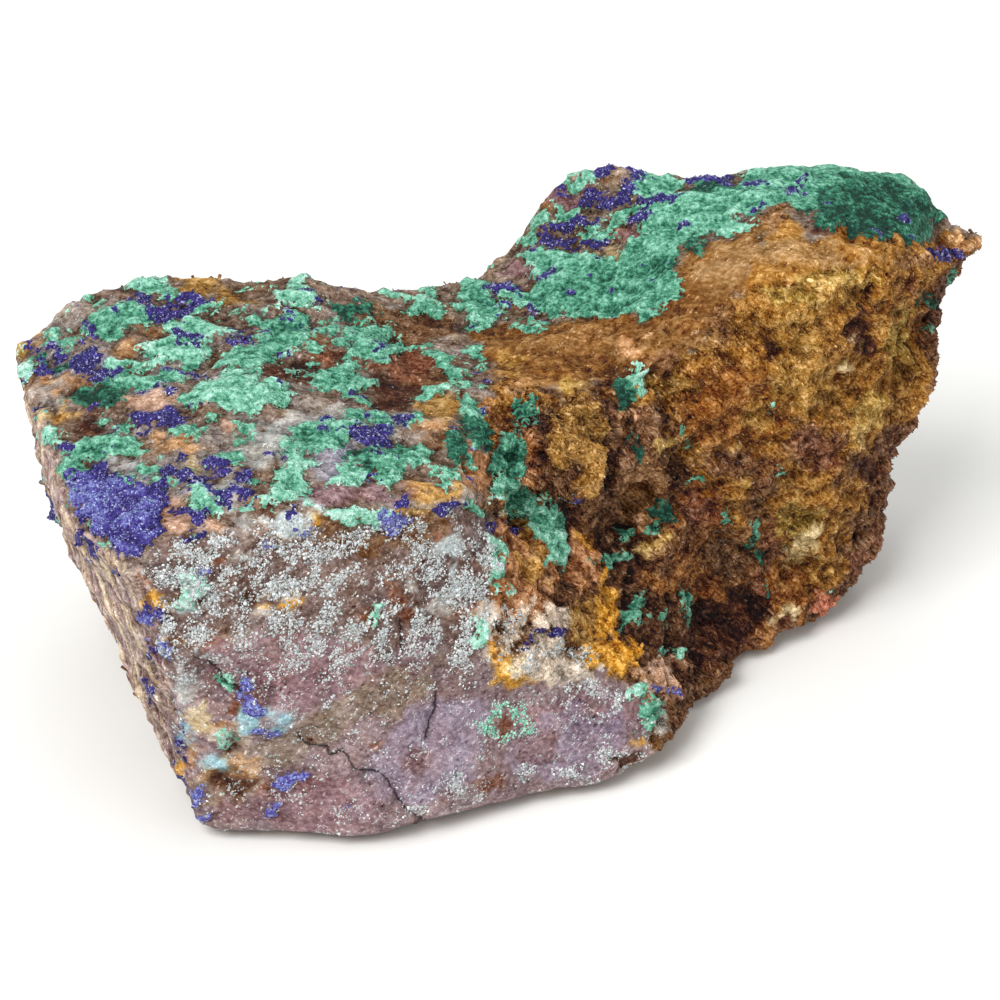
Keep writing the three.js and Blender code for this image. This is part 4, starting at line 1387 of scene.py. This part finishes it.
class Graph:
    """A node tree under construction, with one method for each kind of step."""

    def __init__(self, tree: Tree) -> None:
        """Starts on a tree."""
        self.tree = tree

    def add(self, kind: str, inputs: dict[str | int, object] | None = None, **settings: object) -> Node:
        """Adds a node.

        Args:
            kind: The node's type.
            inputs: What its sockets are set to or linked from.
            settings: Its own properties.

        Returns:
            The node.
        """
        node = self.tree.nodes.new(kind)
        for name, value in settings.items():
            setattr(node, name, value)
        for name, value in (inputs or {}).items():
            self.feed(node.inputs[name], value)
        return node

    def feed(self, socket: Socket, value: object) -> None:
        """Fills a socket.

        Args:
            socket: The input.
            value: The output that it is linked from, or what it is set to.
        """
        if isinstance(value, Socket):
            self.tree.links.new(value, socket)
        else:
            socket.default_value = value

    def math(self, operation: str, first: Value, second: Value = 0.0, clamp: bool = False) -> Socket:
        """A sum on two values."""
        node = self.add("ShaderNodeMath", {0: first, 1: second}, operation=operation, use_clamp=clamp)
        return node.outputs[0]

    def plus(self, first: Value, second: Value) -> Socket:
        """Two values added."""
        return self.math("ADD", first, second)

    def minus(self, first: Value, second: Value) -> Socket:
        """The second value taken from the first."""
        return self.math("SUBTRACT", first, second)

    def times(self, first: Value, second: Value) -> Socket:
        """Two values multiplied."""
        return self.math("MULTIPLY", first, second)

    def swing(self, value: Value, middle: float, amount: Value) -> Socket:
        """How far a value lies from its middle, made larger or smaller."""
        return self.times(self.minus(value, middle), amount)

    def vector(self, operation: str, first: object, second: object) -> Socket:
        """A sum on two places, directions or colours."""
        return self.add("ShaderNodeVectorMath", {0: first, 1: second}, operation=operation).outputs[0]

    def scaled(self, direction: object, amount: Value) -> Socket:
        """A direction or colour times a value."""
        inputs = {0: direction, "Scale": amount}
        return self.add("ShaderNodeVectorMath", inputs, operation="SCALE").outputs[0]

    def remap(self, value: Value, low: Value, high: Value, start: Value = 0.0, end: Value = 1.0) -> Socket:
        """A smooth step from start at low to end at high."""
        inputs = {"Value": value, "From Min": low, "From Max": high, "To Min": start, "To Max": end}
        return self.add("ShaderNodeMapRange", inputs, interpolation_type="SMOOTHSTEP").outputs["Result"]

    def mix(self, share: Value, below: object, above: object) -> Socket:
        """Lays one colour over another, as thickly as a share from 0 to 1 says."""
        inputs = {"Factor": share, 6: below, 7: above}
        return self.add("ShaderNodeMix", inputs, data_type="RGBA", blend_type="MIX").outputs[2]

    def noise(self, place: Socket, scale: Value, detail: float, rough: float = 0.5) -> Socket:
        """Cloudy noise from 0 to 1, with scale swells in a millimetre."""
        inputs = {"Vector": place, "Scale": scale, "Detail": detail, "Roughness": rough}
        return self.add("ShaderNodeTexNoise", inputs).outputs["Fac"]

    def ramp(self, share: Socket, stops: Stops) -> Socket:
        """Picks a colour along a run of display colours.

        Args:
            share: Where along the run, from 0 to 1.
            stops: The colours and their places.

        Returns:
            The colour.
        """
        node = self.add("ShaderNodeValToRGB", {"Fac": share})
        elements = node.color_ramp.elements
        while len(elements) < len(stops):
            elements.new(0.5)
        for element, (position, colour) in zip(elements, stops):
            element.position = position
            element.color = (*linear(colour), 1.0)
        return node.outputs["Color"]

    def split(self, name: str) -> list[Socket]:
        """The three values of an attribute of the mesh."""
        vector = self.add("ShaderNodeAttribute", attribute_name=name).outputs["Vector"]
        return list(self.add("ShaderNodeSeparateXYZ", {0: vector}).outputs)

    def colour(self, name: str) -> Socket:
        """An attribute of the mesh as a colour."""
        return self.add("ShaderNodeAttribute", attribute_name=name).outputs["Color"]

    def place(self) -> Socket:
        """Places on the object, in millimetres."""
        here = self.add("ShaderNodeTexCoord").outputs["Object"]
        return self.add("ShaderNodeMapping", {"Vector": here, "Scale": (1 / MM,) * 3}).outputs["Vector"]

    def drawn(self, place: Socket, along: Triple, stretch: float) -> Socket:
        """Stretches a pattern's places in one direction.

        Args:
            place: The places.
            along: The direction.
            stretch: How many times longer the pattern is in it.

        Returns:
            The places that the pattern reads.
        """
        way = tuple(np.array(along) / np.linalg.norm(along))
        dot = self.add("ShaderNodeVectorMath", {0: place, 1: way}, operation="DOT_PRODUCT")
        part = self.times(dot.outputs["Value"], 1 - 1 / stretch)
        return self.vector("SUBTRACT", place, self.scaled(way, part))


def new_group(
    name: str, inputs: dict[str, str], outputs: dict[str, str]
) -> tuple[Graph, dict[str, Socket], Node]:
    """Starts a node group.

    Args:
        name: The effect's name.
        inputs: Each input's name and socket type.
        outputs: The same for its outputs.

    Returns:
        The group's graph, its inputs by name, and the node that its outputs are linked to.
    """
    tree = bpy.data.node_groups.new(name, "ShaderNodeTree")
    for socket, kind in inputs.items():
        tree.interface.new_socket(name=socket, in_out="INPUT", socket_type=kind)
    for socket, kind in outputs.items():
        tree.interface.new_socket(name=socket, in_out="OUTPUT", socket_type=kind)
    graph = Graph(tree)
    given = graph.add("NodeGroupInput").outputs
    return graph, {socket: given[socket] for socket in inputs}, graph.add("NodeGroupOutput")


def ragged_edge_group(tear: float = 0.07) -> Tree:
    """A mask that ends in a torn edge where a score in millimetres passes zero.

    Args:
        tear: How soft the edge is, in millimetres.

    Returns:
        The group.
    """
    inputs = {"Place": VECTOR, "Score": FLOAT, "Reach": FLOAT, "Fineness": FLOAT}
    graph, given, result = new_group("ragged_edge", inputs, {"Mask": FLOAT})
    noise = graph.noise(given["Place"], given["Fineness"], 2.0)
    score = graph.plus(given["Score"], graph.swing(noise, 0.5, given["Reach"]))
    graph.feed(result.inputs["Mask"], graph.remap(score, -tear, tear))
    return graph.tree


def grain_tone_and_light_group() -> Tree:
    """Grains side by side: their tone, with painted light and shade, and how they stand out.

    Returns:
        The group.
    """
    inputs = {"Place": VECTOR, "Fineness": FLOAT, "Contrast": FLOAT}
    graph, given, result = new_group("grain_tone_and_light", inputs, {"Light": FLOAT, "Height": FLOAT})
    bent = graph.vector("ADD", given["Place"], graph.noise(given["Place"], 1.3, 1.0))
    cells = graph.add("ShaderNodeTexVoronoi", {"Vector": bent, "Scale": given["Fineness"]})
    crown = graph.remap(cells.outputs["Distance"], 0.75, 0.05)
    random = graph.add("ShaderNodeSeparateColor", {0: cells.outputs["Color"]}).outputs[0]
    fine = graph.noise(given["Place"], 5.0, 1.0)
    # painted light on each grain's crown and painted shade towards the gaps between grains
    light = graph.plus(graph.times(crown, 0.55), graph.times(random, 0.5))
    light = graph.plus(light, graph.times(fine, 0.58))
    graph.feed(result.inputs["Light"], graph.swing(light, 0.81, given["Contrast"]))
    graph.feed(result.inputs["Height"], graph.plus(crown, graph.times(fine, 0.5)))
    return graph.tree


def speckle_group() -> Tree:
    """Small specks, as thickly strewn as their density says.

    Returns:
        The group.
    """
    inputs = {"Place": VECTOR, "Fineness": FLOAT, "Density": FLOAT}
    graph, given, result = new_group("speckle", inputs, {"Mask": FLOAT, "Random": FLOAT})
    cells = graph.add("ShaderNodeTexVoronoi", {"Vector": given["Place"], "Scale": given["Fineness"]})
    picks = graph.add("ShaderNodeSeparateColor", {0: cells.outputs["Color"]}).outputs
    chosen = graph.math("LESS_THAN", picks[0], given["Density"])
    dot = graph.remap(cells.outputs["Distance"], 0.52, 0.34)
    graph.feed(result.inputs["Mask"], graph.times(dot, chosen))
    graph.feed(result.inputs["Random"], picks[1])
    return graph.tree


def daylight_group(darkest: float = 0.02, gamma: float = 2.2) -> Tree:
    """A display colour with light added or taken away, as the linear colour that a shader reads.

    Args:
        darkest: The least that a display colour's red, green and blue may be.
        gamma: What turns a display colour into a linear one.

    Returns:
        The group.
    """
    graph, given, result = new_group("daylight", {"Colour": COLOUR, "Light": FLOAT}, {"Colour": COLOUR})
    lit = graph.vector("MAXIMUM", graph.vector("ADD", given["Colour"], given["Light"]), (darkest,) * 3)
    shown = graph.add("ShaderNodeGamma", {"Color": lit, "Gamma": gamma})
    graph.feed(result.inputs["Colour"], shown.outputs[0])
    return graph.tree


class Effects:
    """The node groups that materials share, each built once."""

    def __init__(self) -> None:
        """Builds the groups."""
        self.ragged_edge = ragged_edge_group()
        self.grain_tone_and_light = grain_tone_and_light_group()
        self.speckle = speckle_group()
        self.daylight = daylight_group()

    @staticmethod
    def use(graph: Graph, tree: Tree, **inputs: object) -> Items:
        """Places a group in a material with its own values.

        Args:
            graph: The material's graph.
            tree: The group.
            inputs: What its sockets are set to or linked from, by their names in small letters.

        Returns:
            The group's outputs.
        """
        node = graph.add("ShaderNodeGroup", node_tree=tree)
        for name, value in inputs.items():
            graph.feed(node.inputs[name.capitalize()], value)
        return node.outputs


def new_material(name: str, specular: float | None = None) -> tuple[Material, Graph, Node]:
    """Starts a material.

    Args:
        name: The material's name.
        specular: How strongly it reflects, where that is set.

    Returns:
        The material, its graph and its shader.
    """
    material = bpy.data.materials.new(name)
    material.use_nodes = True
    shader = material.node_tree.nodes["Principled BSDF"]
    if specular is not None:
        shader.inputs["Specular IOR Level"].default_value = specular
    return material, Graph(material.node_tree), shader


@dataclass(frozen=True)
class CrustFinish:
    """How a thin crust is painted on the rock."""

    stops: Stops  # its run of colours, from its darkest tone to its palest
    reach: float  # how far its edge is torn, in millimetres
    edge: float  # tears in a millimetre
    ridges: float  # ridges in a millimetre
    stretch: float = 1.0  # how many times longer its ridges are along the table's grain
    tone_range: tuple[float, float] = (0.32, 0.36)  # where tone 0 lies along the run, and what tone 1 adds
    contrast: float = 1.15

    def paint(
        self, graph: Graph, effects: Effects, place: Socket, score: Socket, tone: Socket, below: Socket
    ) -> tuple[Socket, Socket]:
        """Lays the crust over what lies below it.

        Args:
            graph: The material's graph.
            effects: The shared node groups.
            place: Places in millimetres.
            score: How far inside the crust's border, in millimetres.
            tone: How pale the crust is.
            below: The colour below it.

        Returns:
            The colour with the crust, and the crust's mask.
        """
        edge = effects.use(
            graph, effects.ragged_edge, place=place, score=score, reach=self.reach, fineness=self.edge
        )
        grain = graph.drawn(place, TABLE_GRAIN, self.stretch) if self.stretch != 1 else place
        swing = graph.swing(graph.noise(grain, self.ridges, 2.0, 0.7), 0.5, self.contrast)
        low, gain = self.tone_range
        share = graph.math("ADD", graph.plus(graph.times(tone, gain), low), swing, clamp=True)
        return graph.mix(edge["Mask"], below, graph.ramp(share, self.stops)), edge["Mask"]


MALACHITE = CrustFinish(
    stops=(
        (0.20, (0.08, 0.21, 0.17)), (0.38, (0.17, 0.42, 0.33)), (0.55, (0.35, 0.60, 0.49)),
        (0.74, (0.53, 0.77, 0.67)), (0.95, (0.76, 0.90, 0.85)),
    ),
    reach=2.0, edge=2.1, ridges=2.2, stretch=1.25,
)
AZURITE = CrustFinish(
    stops=(
        (0.22, (0.08, 0.07, 0.22)), (0.42, (0.18, 0.14, 0.42)), (0.60, (0.28, 0.24, 0.55)),
        (0.80, (0.46, 0.48, 0.70)), (1.0, (0.64, 0.70, 0.88)),
    ),
    reach=1.65, edge=1.7, ridges=2.6,
)


@dataclass(frozen=True)
class RockFinish:
    """Stained rock with its crusts painted where the skin's attributes put them."""

    bump: float = 0.32 * MM  # how high the finest grain stands
    specular: float = 0.2
    roughness: float = 0.84
    blue_gloss: float = 0.3  # how much smoother azurite is, and the crowns of the grains
    crown_gloss: float = 0.2
    # the cracks' own dark, which the hollows also take as painted shade
    crack_and_shade_colour: Colour = (0.09, 0.06, 0.05)  # the colour in cracks and hollows, and how strongly it shows there
    crack_darkness: float = 0.8
    hollow_shade: float = 0.3
    crack_width: tuple[float, float] = (0.16, 0.07)  # millimetres, from where it starts to where it is full
    crack_wander: float = 0.83
    fleck_cover: float = 0.85
    fleck_stops: Stops = (
        (0.0, (0.60, 0.58, 0.57)), (0.55, (0.80, 0.81, 0.80)), (1.0, (0.70, 0.80, 0.78))
    )

    def build(self, effects: Effects) -> Material:
        """Makes the material.

        Args:
            effects: The shared node groups.

        Returns:
            The material.
        """
        material, graph, shader = new_material("rock", self.specular)
        place = graph.place()
        bent = graph.vector("ADD", place, graph.noise(place, 3.0, 1.0, 0.55))
        green_score, green_tone, blue_score = graph.split("crusts")
        blue_tone, sugar, crack = graph.split("dusts")
        grain, layers, hollow = graph.split("textures")

        contrast = graph.plus(graph.times(grain, 0.14), 0.06)
        # the grains' light holds painted light on their crowns and painted shade in their gaps
        grain_tone_and_light = effects.use(graph, effects.grain_tone_and_light, place=place, fineness=0.95, contrast=contrast)
        light = graph.plus(grain_tone_and_light["Light"], self._pepper(graph, effects, place, bent, grain))
        light = graph.plus(light, self._streaks(graph, place, layers))
        ground = graph.colour("ground")
        colour = effects.use(graph, effects.daylight, colour=ground, light=light)["Colour"]

        flecks = effects.use(graph, effects.speckle, place=bent, fineness=3.0, density=sugar)
        pale = graph.ramp(flecks["Random"], self.fleck_stops)
        colour = graph.mix(graph.times(flecks["Mask"], self.fleck_cover), colour, pale)
        colour, _ = MALACHITE.paint(graph, effects, place, green_score, green_tone, colour)
        colour, blue = AZURITE.paint(graph, effects, place, blue_score, blue_tone, colour)

        wander = graph.swing(graph.noise(place, 1.2, 3.0, 0.7), 0.5, self.crack_wander)
        gap = graph.math("ABSOLUTE", graph.plus(crack, wander))
        open_crack = graph.times(graph.remap(gap, *self.crack_width), self.crack_darkness)
        # the cracks are darkened, and the hollows get painted shade
        shade = graph.math("MAXIMUM", open_crack, graph.times(hollow, self.hollow_shade))
        colour = graph.mix(shade, colour, (*linear(self.crack_and_shade_colour), 1.0))
        graph.feed(shader.inputs["Base Color"], colour)

        roughness = graph.minus(self.roughness, graph.times(blue, self.blue_gloss))
        roughness = graph.minus(roughness, graph.times(grain_tone_and_light["Height"], self.crown_gloss))
        graph.feed(shader.inputs["Roughness"], roughness)

        crusted = graph.remap(graph.math("MAXIMUM", green_score, blue_score), -0.2, 0.2)
        rough = graph.plus(graph.plus(graph.times(grain, 1.4), 0.25), crusted)
        height = graph.times(graph.noise(place, 1.7, 2.0, 0.65), rough)
        bump = graph.add("ShaderNodeBump", {"Strength": 1.0, "Distance": self.bump, "Height": height})
        graph.feed(shader.inputs["Normal"], bump.outputs["Normal"])
        return material

    @staticmethod
    def _pepper(graph: Graph, effects: Effects, place: Socket, bent: Socket, grain: Socket) -> Socket:
        """Roughens the ground's light with a fine grain, fibres, and dark and pale specks.

        Args:
            graph: The material's graph.
            effects: The shared node groups.
            place: Places in millimetres.
            bent: Places that swerve a little, so that specks are no neat dots.
            grain: How granular the rock is.

        Returns:
            The light that is added, or taken away where it is below zero.
        """
        rough = graph.noise(graph.drawn(place, TABLE_GRAIN, 1.6), 2.1, 3.0, 0.75)
        golden = graph.remap(grain, 0.5, 0.95)
        uneven = graph.remap(grain, 0.0, 0.45, 0.9, 1.0)
        light = graph.times(graph.remap(rough, 0.305, 0.695, -0.11, 0.12), uneven)
        fibres = graph.noise(graph.drawn(place, LOBE_GRAIN, 4), 3.0, 2.0, 0.7)
        light = graph.plus(light, graph.times(graph.remap(fibres, 0.29, 0.71, -0.12, 0.13), golden))
        amount = graph.plus(graph.times(grain, 0.25), 0.05)
        dark = effects.use(graph, effects.speckle, place=bent, fineness=2.3, density=amount)["Mask"]
        light = graph.minus(light, graph.times(dark, 0.15))
        amount = graph.minus(0.10, graph.times(golden, 0.06))
        pale = effects.use(graph, effects.speckle, place=bent, fineness=3.1, density=amount)["Mask"]
        return graph.plus(light, graph.times(pale, 0.22))

    @staticmethod
    def _streaks(graph: Graph, place: Socket, layers: Socket) -> Socket:
        """The light and dark streaks along the layers of the rock's left-hand end."""
        streaks = graph.noise(graph.drawn(place, END_GRAIN, 14), 1.6, 2.0, 0.65)
        return graph.times(graph.remap(streaks, 0.33, 0.67, -0.09, 0.09), layers)


@dataclass(frozen=True)
class CrystalFinish:
    """Small crystals, each in the tint that it grew with."""

    name: str
    roughness: float
    fineness: float  # flecks in a millimetre
    contrast: float = 0.08
    specular: float = 0.3
    uneven: float = 0.12  # how far the roughness varies

    def build(self, effects: Effects) -> Material:
        """Makes the material.

        Args:
            effects: The shared node groups.

        Returns:
            The material.
        """
        material, graph, shader = new_material(self.name, self.specular)
        flecks = {"place": graph.place(), "fineness": self.fineness, "contrast": self.contrast}
        # the crystals' flecks carry painted light on their crowns and painted shade in their gaps
        grain_tone_and_light = effects.use(graph, effects.grain_tone_and_light, **flecks)
        tint = graph.colour("tint")
        colour = effects.use(graph, effects.daylight, colour=tint, light=grain_tone_and_light["Light"])["Colour"]
        graph.feed(shader.inputs["Base Color"], colour)
        smoothest, roughest = self.roughness - self.uneven, self.roughness + self.uneven
        gloss = graph.remap(grain_tone_and_light["Height"], 0.2, 1.2, smoothest, roughest)
        graph.feed(shader.inputs["Roughness"], gloss)
        return material


def dress(piece: Piece, material: Material) -> None:
    """Gives a piece its one material."""
    piece.data.materials.clear()
    piece.data.materials.append(material)


# ---------- crusts


@dataclass
class Crusts:
    """The beds of crystals and grains that stand on the rock."""

    skin: Skin
    geology: Geology
    effects: Effects
    foot: float = 1.5 * MM  # no crystal stands lower than this
    summit: float = -1 * MM  # what lies further right than this belongs to the summit
    crest: tuple[float, float] = (26.0, 30.0)  # millimetres up, from the golden face's foot to its crest

    def build(self) -> None:
        """Grows every bed and attaches it to the rock's body."""
        self._grow_malachite()
        self._grow_azurite()
        self._grow_limonite()
        self._grow_sugar()

    def _thickly(self, score: Array, start: float, most: float) -> Array:
        """How thickly crystals stand: more and more from where a score passes start, up to most."""
        return (self.skin.points[:, 2] > self.foot) * np.clip(score - start, 0, most)

    def _grow_malachite(self) -> None:
        """Grows the green tufts: longer and darker on the table, short and pale on the summit."""
        finish = CrystalFinish("malachite", roughness=0.6, fineness=2.0).build(self.effects)
        green = self._thickly(self.geology.malachite, -0.05, 0.4)
        right = (self.skin.points[:, 0] > self.summit).astype(float)
        # the roots are darker than the tips: the malachite's own deeper green, and painted shade at the
        # tufts' feet
        root = self._tone(((-0.2, (0.05, 0.13, 0.10)), (0.4, (0.18, 0.36, 0.29)), (1, (0.38, 0.60, 0.52))))
        tip = self._tone(((-0.2, (0.12, 0.26, 0.20)), (0.4, (0.40, 0.62, 0.52)), (1, (0.78, 0.92, 0.87))))
        tufts = [Carver.tuft(), Carver.tuft(blades=5, lean=48)]
        # the seed, the share, the highest tufts, and how much of the tips' paleness the roots have
        beds = (("malachite_table", 11, 1 - right, 0.58, 0.1), ("malachite_summit", 12, right, 0.34, 0.65))
        for name, seed, share, highest, pale in beds:
            size = (0.2, highest)
            bed = CrystalBed(name, "malachite", 6200, seed, tufts, size=size, girth=(0.8, 1.3))
            self._grow(bed, green * share, root + (tip - root) * pale, tip, finish)

    def _grow_azurite(self) -> None:
        """Grows the glittering blue prisms."""
        finish = CrystalFinish("azurite", roughness=0.32, fineness=2.5, specular=0.6).build(self.effects)
        glow = self.geology.azurite_tone[:, None]
        # darker roots, as painted shade at the prisms' feet
        root = np.array((0.17, 0.15, 0.35)) * (1 - glow) + np.array((0.27, 0.29, 0.54)) * glow
        tip = np.array((0.40, 0.38, 0.59)) * (1 - glow) + np.array((0.51, 0.57, 0.79)) * glow
        bed = CrystalBed(
            "azurite_crystals", "azurite", 9500, 13, [Carver.prism()],
            size=(0.2, 0.5), girth=(0.6, 1.0), lean=0.6, sink=0.3, light=0.12, pale_and_glint_share=0.14,
        )
        self._grow(bed, self._thickly(self.geology.azurite, -0.05, 0.35), root, tip, finish)

    def _grow_limonite(self) -> None:
        """Grows the golden splinters and nuggets of the right-hand lobe, its crest first."""
        geology = self.geology
        finish = CrystalFinish("limonite", roughness=0.5, fineness=1.8, contrast=0.12).build(self.effects)
        free = (geology.malachite < 0.1) * (geology.azurite < 0.1)
        golden = self._thickly(geology.grain, 0.52, 1) * free
        grains = [Carver.prism()] * 3 + [Carver.nugget(1), Carver.nugget(2)]
        upper = smooth_step(self.skin.points[:, 2] / MM, *self.crest)
        # roots darker than the ground and tips lighter: painted shade at the grains' feet, painted light on
        # their tips
        root = 0.85 * geology.ground - 0.08
        for name, seed, share in (("limonite_crest", 14, upper), ("limonite_foot", 15, 1 - upper)):
            bed = CrystalBed(
                name, "limonite", 11500, seed, grains,
                size=(0.35, 1.1), girth=(0.22, 0.6), lean=0.6, light=0.09, drift=LOBE_GRAIN,
            )
            self._grow(bed, golden * share, root, geology.ground + 0.04, finish)

    def _grow_sugar(self) -> None:
        """Grows the pale grains of the front face, and the green ones of its ring."""
        finish = CrystalFinish("sugar", roughness=0.45, fineness=3.0).build(self.effects)
        pale = np.tile(np.array((0.73, 0.75, 0.75)), (len(self.skin.points), 1))
        ring = smooth_step(self.skin.spots(GREEN_RING), -0.3, 0.3)[:, None]
        pale += (np.array((0.55, 0.80, 0.70)) - pale) * ring
        bed = CrystalBed(
            "sugar_grains", "rock", 11000, 16, [Carver.sugar()],
            size=(0.18, 0.48), girth=(0.8, 1.4), light=0.10,
        )
        # roots 0.12 darker than the tips: painted shade at the grains' feet
        self._grow(bed, self._thickly(self.geology.sugar, 0.12, 1), pale - 0.12, pale, finish)

    def _tone(self, stops: Stops) -> Array:
        """Colours each corner's malachite by its tone.

        Args:
            stops: The colours and their tones.

        Returns:
            The display colours.
        """
        places, colours = zip(*stops)
        tone = self.geology.malachite_tone
        return np.stack([np.interp(tone, places, channel) for channel in zip(*colours)], axis=1)

    def _grow(self, bed: CrystalBed, weight: Array, root: Array, tip: Array, finish: Material) -> None:
        """Grows a bed, dresses it, and fixes it to the rock's body.

        Args:
            bed: The bed.
            weight: How thickly its crystals stand at each corner of the rock.
            root: The colour of the crystals' roots there.
            tip: The colour of their tips.
            finish: Their material.
        """
        piece = bed.grow(self.skin, weight, root, tip)
        dress(piece, finish)
        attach(piece, "root")
        LOG.info("%s: %d faces", piece.name, len(piece.data.polygons))


# ---------- studio


@dataclass(frozen=True)
class AreaLight:
    """A large soft lamp that faces the block."""

    name: str
    place: Triple  # metres
    size: float  # metres
    power: float  # watts

    def build(self, aim: Triple) -> None:
        """Adds the lamp.

        Args:
            aim: The place that it faces.
        """
        away = Vector(self.place) - Vector(aim)
        turn = away.to_track_quat("Z", "Y").to_euler()
        bpy.ops.object.light_add(type="AREA", location=self.place, rotation=turn)
        lamp = bpy.context.object
        lamp.name = self.name
        lamp.data.size = self.size
        lamp.data.energy = self.power


@dataclass(frozen=True)
class Studio:
    """A plain pale floor under soft light."""

    view: Viewpoint
    floor_width: float = 6.0  # metres
    floor_colour: Colour = (0.93, 0.93, 0.92)
    floor_shade: tuple[float, float] = (0.98, 1.0)  # how far its light varies
    floor_roughness: float = 0.9
    sky: float = 0.46  # how bright the room is
    lights: tuple[AreaLight, ...] = (
        AreaLight("key_light", (-0.35, -0.45, 0.75), 0.5, 8.0),
        AreaLight("fill_light", (0.55, -0.60, 0.40), 0.8, 1.5),
        AreaLight("top_light", (0.10, 0.25, 0.85), 0.7, 2.6),
    )

    def build(self) -> None:
        """Adds the floor, the lamps and the room's light."""
        self._lay_floor()
        for light in self.lights:
            light.build(self.view.aim)
        world = bpy.data.worlds.new("room")
        world.use_nodes = True
        background = world.node_tree.nodes["Background"]
        background.inputs["Color"].default_value = (1.0, 1.0, 1.0, 1.0)
        background.inputs["Strength"].default_value = self.sky
        bpy.context.scene.world = world
        bpy.context.scene.view_settings.view_transform = "Standard"

    def _lay_floor(self) -> None:
        """Adds the floor."""
        bpy.ops.mesh.primitive_plane_add(size=self.floor_width)
        floor = bpy.context.object
        floor.name = "floor"
        material, graph, shader = new_material("pale_floor")
        shade = graph.remap(graph.noise(graph.place(), 0.05, 2.0, 0.55), 0.3, 0.7, *self.floor_shade)
        tint = graph.scaled(tuple(linear(self.floor_colour)), shade)
        graph.feed(shader.inputs["Base Color"], tint)
        shader.inputs["Roughness"].default_value = self.floor_roughness
        dress(floor, material)


def main() -> None:
    """Builds the block, its crusts and the studio, and notes how many corners and faces the pieces have."""
    logging.basicConfig(level=logging.INFO, format="%(name)s: %(message)s")
    view = Viewpoint()
    effects = Effects()
    rock, skin, geology = RockBody(view).build(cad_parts[ROCK_NODE])
    dress(rock, RockFinish().build(effects))
    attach(rock, "root")
    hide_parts(ROCK_NODE)
    LOG.info("%s: %d corners, %d in sight", rock.name, len(skin.points), skin.seen.sum())
    Crusts(skin, geology, effects).build()
    Studio(view).build()
    view.make_camera()


if __name__ == "__main__":
    main()
